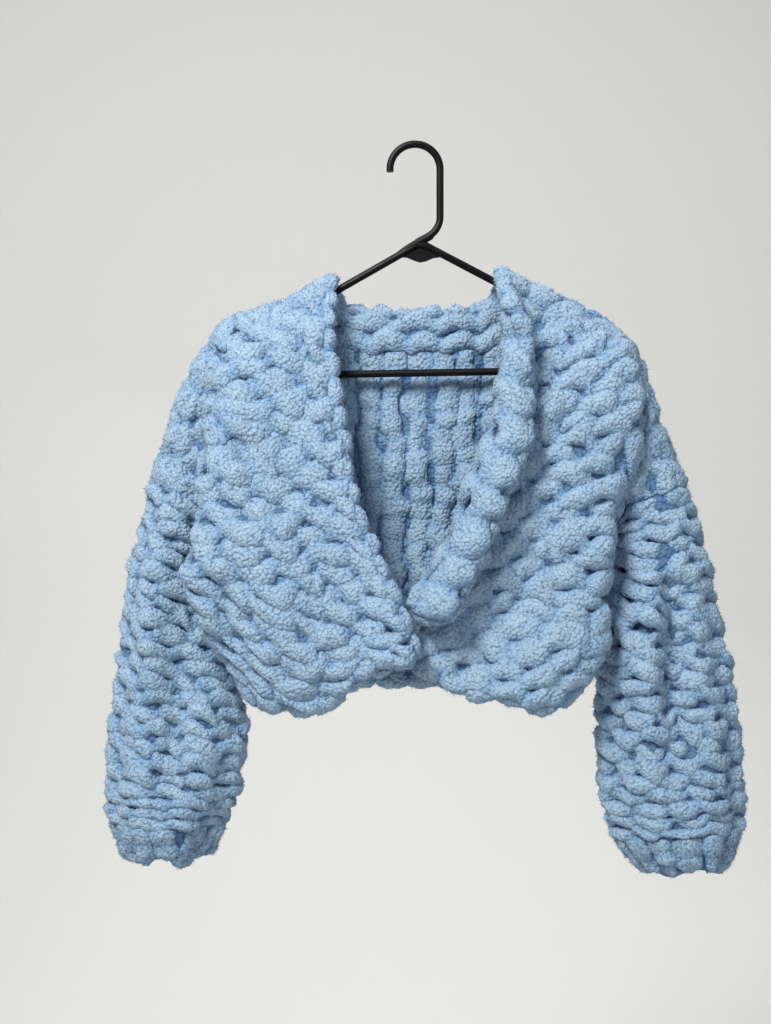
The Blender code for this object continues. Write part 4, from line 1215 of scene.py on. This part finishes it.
def plush(name, crown, yarn, depth, nub):
    """Plush chenille: round nubs of pile with finer curls, bumped; the nubs' tips are painted pale as a
    painted highlight and the hollows between them dark as painted shade.
    """
    made, tree, shader, coords = new_material(name)
    nubs = texture(tree, coords, "Voronoi", 300, {"Scale": 1 / nub}, feature="SMOOTH_F1")
    nubs.inputs["Smoothness"].default_value = 0.15
    curls = texture(tree, coords, "Voronoi", 0, {"Scale": 2.3 / nub}, feature="F1")
    fuzz = texture(tree, coords, "Noise", -300, {"Scale": 700, "Detail": 2.0})
    lumps = texture(tree, coords, "Noise", -560, {"Scale": 38, "Detail": 3.0})
    domes = []
    for y, cells in ((300, nubs), (0, curls)):
        # A dome: one less the square of the distance from the nub's middle
        square = node(tree, "ShaderNodeMath", -980, y, {1: 2.0}, operation="POWER")
        dome = node(tree, "ShaderNodeMath", -820, y, {0: 1.0}, operation="SUBTRACT")
        tree.links.new(cells.outputs["Distance"], square.inputs[0])
        tree.links.new(square.outputs["Value"], dome.inputs[1])
        domes.append(dome.outputs["Value"])
    pile = sum_node(tree, -640, 160, 0.12, domes[1], domes[0])
    fuzzed = sum_node(tree, -480, 60, 0.16, fuzz.outputs["Fac"], pile)
    bumped(tree, shader, fuzzed, 1.0, 0.0019)
    # How pale the yarn is painted: painted highlight on the crowns of stitches and on nub tips, painted shade
    # in the creases and between the nubs, and soft lumps of tone at random add to it
    crowns = node(tree, "ShaderNodeAttribute", -980, -160, attribute_name="crown")
    painted_nub_light = sum_node(tree, -800, -340, 0.44, pile, -0.27)
    painted_crown_light = sum_node(tree, -640, -160, 0.52, crowns.outputs["Fac"], painted_nub_light)
    by_lump = sum_node(tree, -460, -160, 0.30, lumps.outputs["Fac"], painted_crown_light)
    # The ramp runs from the painted shade colour of the creases through the yarn's own colour to the painted
    # highlight colour of the crowns
    ramp = node(tree, "ShaderNodeValToRGB", -260, 160)
    stops = ramp.color_ramp.elements
    stops[0].color, stops[1].color = (*depth, 1), (*crown, 1)
    stops[1].position = 0.95
    stops.new(0.42).color = (*yarn, 1)
    tree.links.new(by_lump, ramp.inputs["Fac"])
    tree.links.new(ramp.outputs["Color"], shader.inputs["Base Color"])
    shader.inputs["Roughness"].default_value = 1.0
    shader.inputs["Specular IOR Level"].default_value = 0.1
    shader.inputs["Sheen Weight"].default_value = 0.25
    shader.inputs["Sheen Roughness"].default_value = 0.5
    shader.inputs["Sheen Tint"].default_value = (0.8, 0.9, 1.0, 1)
    return made


def moulded(name, colour):
    """Black moulded plastic: a faint orange peel, and patches a little more and less glossy."""
    made, tree, shader, coords = new_material(name)
    peel = texture(tree, coords, "Noise", -200, {"Scale": 900})
    patches = texture(tree, coords, "Noise", 100, {"Scale": 60, "Detail": 4})
    rough = node(tree, "ShaderNodeMapRange", -540, 100, {"To Min": 0.38, "To Max": 0.55})
    tone = node(tree, "ShaderNodeValToRGB", -400, 340)
    for stop, share in zip(tone.color_ramp.elements, (0.7, 1.5)):
        stop.color = (*[c * share for c in colour], 1)
    tree.links.new(patches.outputs["Fac"], rough.inputs["Value"])
    tree.links.new(patches.outputs["Fac"], tone.inputs["Fac"])
    tree.links.new(tone.outputs["Color"], shader.inputs["Base Color"])
    tree.links.new(rough.outputs["Result"], shader.inputs["Roughness"])
    bumped(tree, shader, peel.outputs["Fac"], 0.25, 0.0002)
    shader.inputs["Specular IOR Level"].default_value = 0.14
    return made


def painted(name, colour):
    """Matte paint on the stage, with a faint roller grain."""
    made, tree, shader, coords = new_material(name)
    grain = texture(tree, coords, "Noise", 0, {"Scale": 60})
    bumped(tree, shader, grain.outputs["Fac"], 0.15, 0.001)
    shader.inputs["Base Color"].default_value = (*colour, 1)
    shader.inputs["Roughness"].default_value = 0.9
    return made


def yarn_material(context, name="plush yarn", yarn=1.0, depth=1.0):
    """The yarn's material in the user's colours, with its own colour and its creases' painted shade made
    darker by the two factors; when its own colour is made darker, its crowns take the yarn's own colour in
    place of the painted highlight.
    """
    colours = context.scene.bolero_colours
    return bpy.data.materials.get(name) or plush(
        name, colours.crown if yarn == 1.0 else colours.yarn, [yarn * c for c in colours.yarn],
        [depth * c for c in colours.depth], context.scene.bolero_sizes.nub,
    )


def ground_shade_material(context):
    """The ground's yarn, painted darker as shade deep under the stitches: as pale as the yarn's own colour at
    most.
    """
    return yarn_material(context, "plush yarn, ground", 0.7, 0.8)


def ridden(piece):
    """The piece riding on the only body."""
    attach(piece, "root")
    return piece


class BOLERO_OT_body(bpy.types.Operator):
    """Work the purl stitches of the back and the two fronts"""

    bl_idname = "bolero.body"
    bl_label = "Body stitches"

    def execute(self, context):
        sizes = context.scene.bolero_sizes
        look = yarn_material(context)
        for seed, piece, cloth in (
            (100, "back", "back"), (200, "front_left", "left_whole"), (300, "front_right", "front_right")
        ):
            parts = [
                crescents(
                    course, sizes.stitch / MM, seed + number, sizes.proud / MM,
                    tilt=tilt_of(piece), half=number % 2, taper=number % 2 and number < ARMHOLE_ROWS,
                    plump=1.62 if piece == "back" else 1.52,
                )
                for number, course in enumerate(body_courses(cloth))
            ]
            if piece != "back":
                course = shoulder_course(piece)
                proud = sizes.proud / MM + 0.8
                parts.append(crescents(course, sizes.stitch / MM, seed + 60, proud, plump=1.2, tilt=1.0))
            ridden(mesh_object(piece + "_stitches", *joined(parts), look))
        return {"FINISHED"}


def tilt_of(piece):
    """How high a stitch climbs across its row, and which way it leans."""
    return -5.2 if piece in ("front_left", "back") else 4.6


class BOLERO_OT_sleeves(bpy.types.Operator):
    """Work the rounds of the two sleeves"""

    bl_idname = "bolero.sleeves"
    bl_label = "Sleeve stitches"

    def execute(self, context):
        sizes = context.scene.bolero_sizes
        look = yarn_material(context)
        for seed, piece in ((400, "sleeve_left"), (500, "sleeve_right")):
            parts = []
            for number, course in enumerate(sleeve_courses(piece)):
                proud = sizes.proud / MM + (0 if number else SEAM_PROUD)
                parts.append(crescents(
                    course, sizes.stitch / MM, seed + number, proud, tilt=-4.2, half=number % 2, plump=1.34,
                ))
            ridden(mesh_object(piece + "_stitches", *joined(parts), look))
        return {"FINISHED"}


class BOLERO_OT_cuffs(bpy.types.Operator):
    """Work the upright ribs of the two cuffs, rounded at the wrist"""

    bl_idname = "bolero.cuffs"
    bl_label = "Cuff ribs"

    def execute(self, context):
        look = yarn_material(context)
        for seed, piece in ((600, "cuff_left"), (640, "cuff_right")):
            around = Course(piece, 1.5, np.linspace(0, CLOTH[piece].shape[1] - 1, 120), 0.0, 0.0)
            lines = down_lines(piece, int(round(around.length / RIB_WIDTH)), first_row=0.0)
            outer = wale_ropes(lines, 17, seed, 10.4, side=1, turns=12, ragged=6.0)
            inner = wale_ropes(lines, 23, seed + 20, 8.0, ragged=3.0)
            ridden(mesh_object(piece + "_ribs", *joined(outer + inner), look))
        return {"FINISHED"}


class BOLERO_OT_collar(bpy.types.Operator):
    """Work the collar, with stitches on both of its sides, and its lapel"""

    bl_idname = "bolero.collar"
    bl_label = "Collar stitches"

    def execute(self, context):
        sizes = context.scene.bolero_sizes
        look = yarn_material(context)
        parts = []
        for number, course in enumerate(collar_courses()):
            for side in (1, -1):
                parts.append(crescents(
                    course, sizes.stitch / MM * 1.05, 700 + number * 2 + side, sizes.proud / MM, side,
                    tilt=2.6, half=number % 2, plump=1.25, bulk=1.6 if side < 0 else 0.0,
                ))
        proud = sizes.proud / MM - 0.4
        for number, course in enumerate(collar_rows()):
            parts.append(crescents(
                course, sizes.stitch / MM, 740 + number, proud, -1, tilt=4.0, half=number % 2,
            ))
        ridden(mesh_object("collar_stitches", *joined(parts), look))
        return {"FINISHED"}


class BOLERO_OT_inside(bpy.types.Operator):
    """Work the knit side inside the back and the fronts"""

    bl_idname = "bolero.inside"
    bl_label = "Inside wales"

    def execute(self, context):
        sizes = context.scene.bolero_sizes
        look = yarn_material(context)
        for seed, piece, lines, proud in (
            (800, "back", upright_lines("back", sizes.wale / MM), 9.2),
            (840, "front_left", down_lines("front_left", FRONT_WALES), 8.4),
            (870, "front_right", down_lines("front_right", FRONT_WALES), 8.4),
        ):
            parts = wale_ropes(lines, INSIDE_STITCH, seed, proud)
            ridden(mesh_object(piece + "_wales", *joined(parts), look))
        return {"FINISHED"}


class BOLERO_OT_edges(bpy.types.Operator):
    """Work the chains along the hem, the collar's free edge and its two ends"""

    bl_idname = "bolero.edges"
    bl_label = "Edge chains"

    def execute(self, context):
        look = yarn_material(context)
        hem = []
        for seed, piece in ((900, "back"), (910, "front_left"), (920, "front_right")):
            last_row, last = (n - 1 for n in CLOTH[piece].shape[:2])
            hem.append(bound_edge(piece, last_row, np.linspace(0, last, 160), (0.5, 0), 31, seed, 10.0, 10.4))
        rows = np.linspace(row_of(LAPEL_ROWS), last_row, 40)
        hem.append(bound_edge("front_right", rows, 0, (0, -0.5), 24, 930, 8.0, 9.0))
        ridden(mesh_object("hem_chain", *joined(hem), look))
        lines = CLOTH["collar"].shape[0] - 1
        across = np.linspace(0, COLLAR_COLUMNS, 40)
        free = [
            bound_edge("collar", np.linspace(0, lines, 400), COLLAR_COLUMNS, (0, 0.5), 26, 940, 7.5, 9.0),
            bound_edge("collar", 0, across, (-0.5, 0), 26, 950, 8.0, 9.0),
            bound_edge("collar", lines, across, (0.5, 0), 26, 960, 8.0, 9.0),
        ]
        ridden(mesh_object("collar_chain", *joined(free), look))
        return {"FINISHED"}


# Tufts of pile: their height and half the width of their foot (mm), how far they lean, how
# pale they are painted, as a painted highlight on the pile's tips, and the least crown value of a face on
# which they stand
TUFT_HEIGHT = 3.2
TUFT_FOOT = 0.42
TUFT_LEAN = 0.42
TUFT_PAINTED_HIGHLIGHT = 0.85
LEAST_CROWN = 0.33
# How many tufts stand on each piece's stitches
PILE = {
    "back_stitches": 11000,
    "back_wales": 3500,
    "front_left_stitches": 15000,
    "front_right_stitches": 11000,
    "sleeve_left_stitches": 13000,
    "sleeve_right_stitches": 15000,
    "cuff_left_ribs": 3000,
    "cuff_right_ribs": 3500,
    "collar_stitches": 11000,
    "collar_chain": 3500,
    "hem_chain": 2500,
}


def read(items, name, kind, width=1):
    """One property of all of a mesh's items as an array."""
    values = np.empty(len(items) * width, kind)
    items.foreach_get(name, values)
    return values.reshape(-1, width) if width > 1 else values


def tufts(points, faces, count, seed):
    """Little closed spikes of pile: three feet on the surface round a tip that leans at random.

    Each stands on a face picked in proportion to its area, at a random place on it.
    """
    rng = np.random.default_rng(seed)
    a, b, c, d = (points[faces[:, i]] for i in range(4))
    across = face_normals(points, faces)
    area = np.linalg.norm(across, axis=1)
    pick = np.searchsorted(np.cumsum(area), rng.uniform(0, area.sum(), count))
    u, v = rng.uniform(0, 1, (2, count, 1))
    base = (1 - u) * ((1 - v) * a[pick] + v * d[pick]) + u * ((1 - v) * b[pick] + v * c[pick])
    normal = unit(across[pick])
    lean = unit(normal + TUFT_LEAN * rng.normal(size=(count, 3)))
    side = unit(np.cross(lean, rng.normal(size=(count, 3))))
    other = np.cross(lean, side)
    tall = TUFT_HEIGHT * rng.uniform(0.55, 1.25, (count, 1))
    wide = TUFT_FOOT * rng.uniform(0.75, 1.25, (count, 1))
    feet = [
        base - normal * 0.35 + wide * (math.cos(turn) * side + math.sin(turn) * other)
        for turn in (0, 2 * math.pi / 3, 4 * math.pi / 3)
    ]
    spikes = np.stack([*feet, base + lean * tall], 1).reshape(-1, 3)
    n = np.arange(count)[:, None] * 4
    triangles = np.stack([n + [0, 1, 3], n + [1, 2, 3], n + [2, 0, 3], n + [0, 2, 1]], 1).reshape(-1, 3)
    return spikes, triangles


class BOLERO_OT_pile(bpy.types.Operator):
    """Raise the yarn's pile: tufts all over the stitches"""

    bl_idname = "bolero.pile"
    bl_label = "Pile"

    def execute(self, context):
        look = yarn_material(context)
        for number, (name, count) in enumerate(PILE.items()):
            mesh = bpy.data.objects[name].data
            points = read(mesh.vertices, "co", np.float32, 3) / MM
            crown = read(mesh.attributes["crown"].data, "value", np.float32)
            quads = (read(mesh.polygons, "loop_total", np.int32) == 4).sum()
            faces = read(mesh.loops, "vertex_index", np.int32)[: quads * 4].reshape(-1, 4)
            faces = faces[crown[faces].mean(1) > LEAST_CROWN]
            spikes, triangles = tufts(points, faces, count, 1000 + number)
            # The tufts get a high crown value: they are painted pale, as a painted highlight on the pile's
            # tips
            pale = np.full(len(spikes), TUFT_PAINTED_HIGHLIGHT)
            ridden(mesh_object(name + "_pile", spikes, NO_QUADS, triangles, pale, look))
        return {"FINISHED"}


class BOLERO_OT_grounds(bpy.types.Operator):
    bl_idname = "bolero.grounds"
    bl_label = "Grounds"

    def execute(self, context):
        look = ground_shade_material(context)
        belongs = {
            "back": ["back_stitches", "back_wales", "hem_chain"],
            "front_left": ["front_left_stitches", "front_left_wales"],
            "front_right": ["front_right_stitches", "front_right_wales"],
            "sleeve_left": ["sleeve_left_stitches"],
            "sleeve_right": ["sleeve_right_stitches"],
            "cuff_left": ["cuff_left_ribs"],
            "cuff_right": ["cuff_right_ribs"],
            "collar": ["collar_stitches", "collar_chain"],
        }
        for names in belongs.values():
            names += [name + "_pile" for name in names if name in PILE]
        for piece, (width, length, area) in CUTS.items():
            made = ridden(ground(piece + "_ground", piece, look))
            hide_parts(piece)
        return {"FINISHED"}


# Where the hook grows out of the arms: x, z and radius (mm) along two short tapering tubes
HANGER_ROOT = (
    ((17, -87.6, 3.4), (10, -91.6, 3.7), (2, -95.2, 3.9), (-6, -99.9, 3.6), (-16, -105.8, 2.6)),
    ((-3, -97.4, 2.4), (4, -97.2, 3.6), (12, -99.0, 3.6), (22, -102.9, 2.6)),
)


def hanger_root(look):
    """The moulded joint over the ends of the hook and the arms, closing the notch between them."""
    parts = []
    turns = np.radians(np.arange(0, 360, 20))
    for line in HANGER_ROOT:
        t = np.linspace(0, len(line) - 1, 28)
        x, z, radius = (
            np.polyval(np.polyfit(np.arange(len(line)), values, 3), t) for values in np.array(line).T
        )
        centre = np.stack([x, np.zeros(28), z], -1)
        tangent = unit(np.gradient(centre, axis=0))
        normal = np.broadcast_to([0.0, -1.0, 0.0], centre.shape)
        radius = radius[:, None]
        ring = rings_round(centre, normal, np.cross(normal, tangent), radius, radius, turns)
        tube = skinned(ring, False, 1.0)
        parts.append((*tube, np.zeros(len(tube[0]))))
    ridden(mesh_object("hanger_root", *joined(parts), look))


class BOLERO_OT_hanger(bpy.types.Operator):
    """Give the hanger its moulded plastic"""

    bl_idname = "bolero.hanger"
    bl_label = "Hanger"

    def execute(self, context):
        look = moulded("moulded plastic", context.scene.bolero_colours.plastic)
        for name in ("hanger_arm_left", "hanger_arm_right", "hanger_bar", "hanger_hook", "hanger_web"):
            for slot in bpy.data.objects[name].material_slots:
                slot.material = look
        hanger_root(look)
        return {"FINISHED"}


# The soft lights: name, place and what they face (m), width (m), watts and colour
LIGHTS = (
    ("key", (-1.05, -1.85, 1.5), (0.0, 0.0, -0.25), 0.9, 116, (1.0, 0.985, 0.96)),
    ("fill", (1.9, -2.2, 0.4), (0.0, 0.0, -0.4), 1.8, 15, (0.95, 0.975, 1.0)),
    ("top", (0.0, 0.2, 1.9), (0.0, 0.0, -0.4), 1.6, 12, (1.0, 1.0, 1.0)),
    ("rear", (0.4, 2.1, 0.6), (0.0, 0.0, -0.4), 1.6, 24, (1.0, 1.0, 1.0)),
)
CAMERA_PLACE = (-0.0295, -1.422, -0.364)
# The stage's sweep (mm)
SWEEP_RADIUS = 1400.0
SWEEP_FLOOR = -1900.0
SWEEP_BACK = 2600.0
SWEEP_FRONT = -4200.0
SWEEP_TOP = 3200.0
SWEEP_HALF = 4200.0  # half its width


class BOLERO_OT_stage(bpy.types.Operator):
    """Set the pale floor and backdrop, the soft lights and the camera"""

    bl_idname = "bolero.stage"
    bl_label = "Stage"

    def execute(self, context):
        stage_sweep(painted("stage paint", context.scene.bolero_colours.stage))
        for light in LIGHTS:
            add_light(*light)
        world = bpy.data.worlds.new("studio")
        world.use_nodes = True
        sky = world.node_tree.nodes["Background"]
        sky.inputs["Color"].default_value = (0.72, 0.84, 1.0, 1)
        sky.inputs["Strength"].default_value = 0.25
        context.scene.world = world
        context.scene.view_settings.view_transform = "Standard"
        camera = bpy.data.objects.new("camera", bpy.data.cameras.new("camera"))
        camera.data.lens = 50
        camera.data.sensor_width = 36
        camera.location = CAMERA_PLACE
        camera.rotation_euler = (math.pi / 2, 0, 0)
        context.scene.collection.objects.link(camera)
        context.scene.camera = camera
        return {"FINISHED"}


def stage_sweep(look):
    """The floor and the backdrop in one sweep: flat, then a quarter round, then upright."""
    turn = np.linspace(0, np.pi / 2, 13)
    round_y = SWEEP_BACK - SWEEP_RADIUS + SWEEP_RADIUS * np.sin(turn)
    round_z = SWEEP_FLOOR + SWEEP_RADIUS * (1 - np.cos(turn))
    y = np.concatenate([[SWEEP_FRONT], round_y, [SWEEP_BACK]])
    z = np.concatenate([[SWEEP_FLOOR], round_z, [SWEEP_TOP]])
    x = np.linspace(-SWEEP_HALF, SWEEP_HALF, 9)
    points = np.stack(np.broadcast_arrays(x[:, None], y[None], z[None]), -1).reshape(-1, 3)
    quads = grid_quads(len(x), len(y))[:, [0, 3, 2, 1]]
    mesh_object("stage_sweep", points, quads, NO_TRIANGLES, None, look)


def add_light(name, place, target, size, watts, colour):
    """A square area light at its place, facing its target."""
    lamp = bpy.data.lights.new(name, "AREA")
    lamp.size = size
    lamp.energy = watts
    lamp.color = colour
    made = bpy.data.objects.new(name, lamp)
    bpy.context.scene.collection.objects.link(made)
    away = np.array(place) - np.array(target)
    made.location = place
    flat = math.hypot(away[0], away[1])
    made.rotation_euler = (math.atan2(flat, away[2]), 0, math.atan2(away[0], -away[1]))


class BOLERO_PT_sidebar(bpy.types.Panel):
    """Every step of the bolero, in order"""

    bl_idname = "BOLERO_PT_sidebar"
    bl_label = "Chunky knit bolero"
    bl_space_type = "VIEW_3D"
    bl_region_type = "UI"
    bl_category = "Bolero"

    def draw(self, context):
        layout = self.layout
        for group in (context.scene.bolero_sizes, context.scene.bolero_colours):
            box = layout.box()
            for name in group.bl_rna.properties.keys():
                if name not in ("rna_type", "name"):
                    box.prop(group, name)
        for operator in STEPS:
            layout.operator(operator.bl_idname)


STEPS = (
    BOLERO_OT_stage,
    BOLERO_OT_hanger,
    BOLERO_OT_body,
    BOLERO_OT_sleeves,
    BOLERO_OT_cuffs,
    BOLERO_OT_collar,
    BOLERO_OT_inside,
    BOLERO_OT_edges,
    BOLERO_OT_pile,
    BOLERO_OT_grounds,
)
CLASSES = (BoleroSizes, BoleroColours, *STEPS, BOLERO_PT_sidebar)


def register():
    for made in CLASSES:
        bpy.utils.register_class(made)
    bpy.types.Scene.bolero_sizes = bpy.props.PointerProperty(type=BoleroSizes)
    bpy.types.Scene.bolero_colours = bpy.props.PointerProperty(type=BoleroColours)


def unregister():
    del bpy.types.Scene.bolero_colours
    del bpy.types.Scene.bolero_sizes
    for made in reversed(CLASSES):
        bpy.utils.unregister_class(made)


def main():
    """Make every part in order."""
    register()
    bpy.ops.bolero.stage()
    bpy.ops.bolero.hanger()
    bpy.ops.bolero.body()
    bpy.ops.bolero.sleeves()
    bpy.ops.bolero.cuffs()
    bpy.ops.bolero.collar()
    bpy.ops.bolero.inside()
    bpy.ops.bolero.edges()
    bpy.ops.bolero.pile()
    bpy.ops.bolero.grounds()


if __name__ == "__main__":
    main()
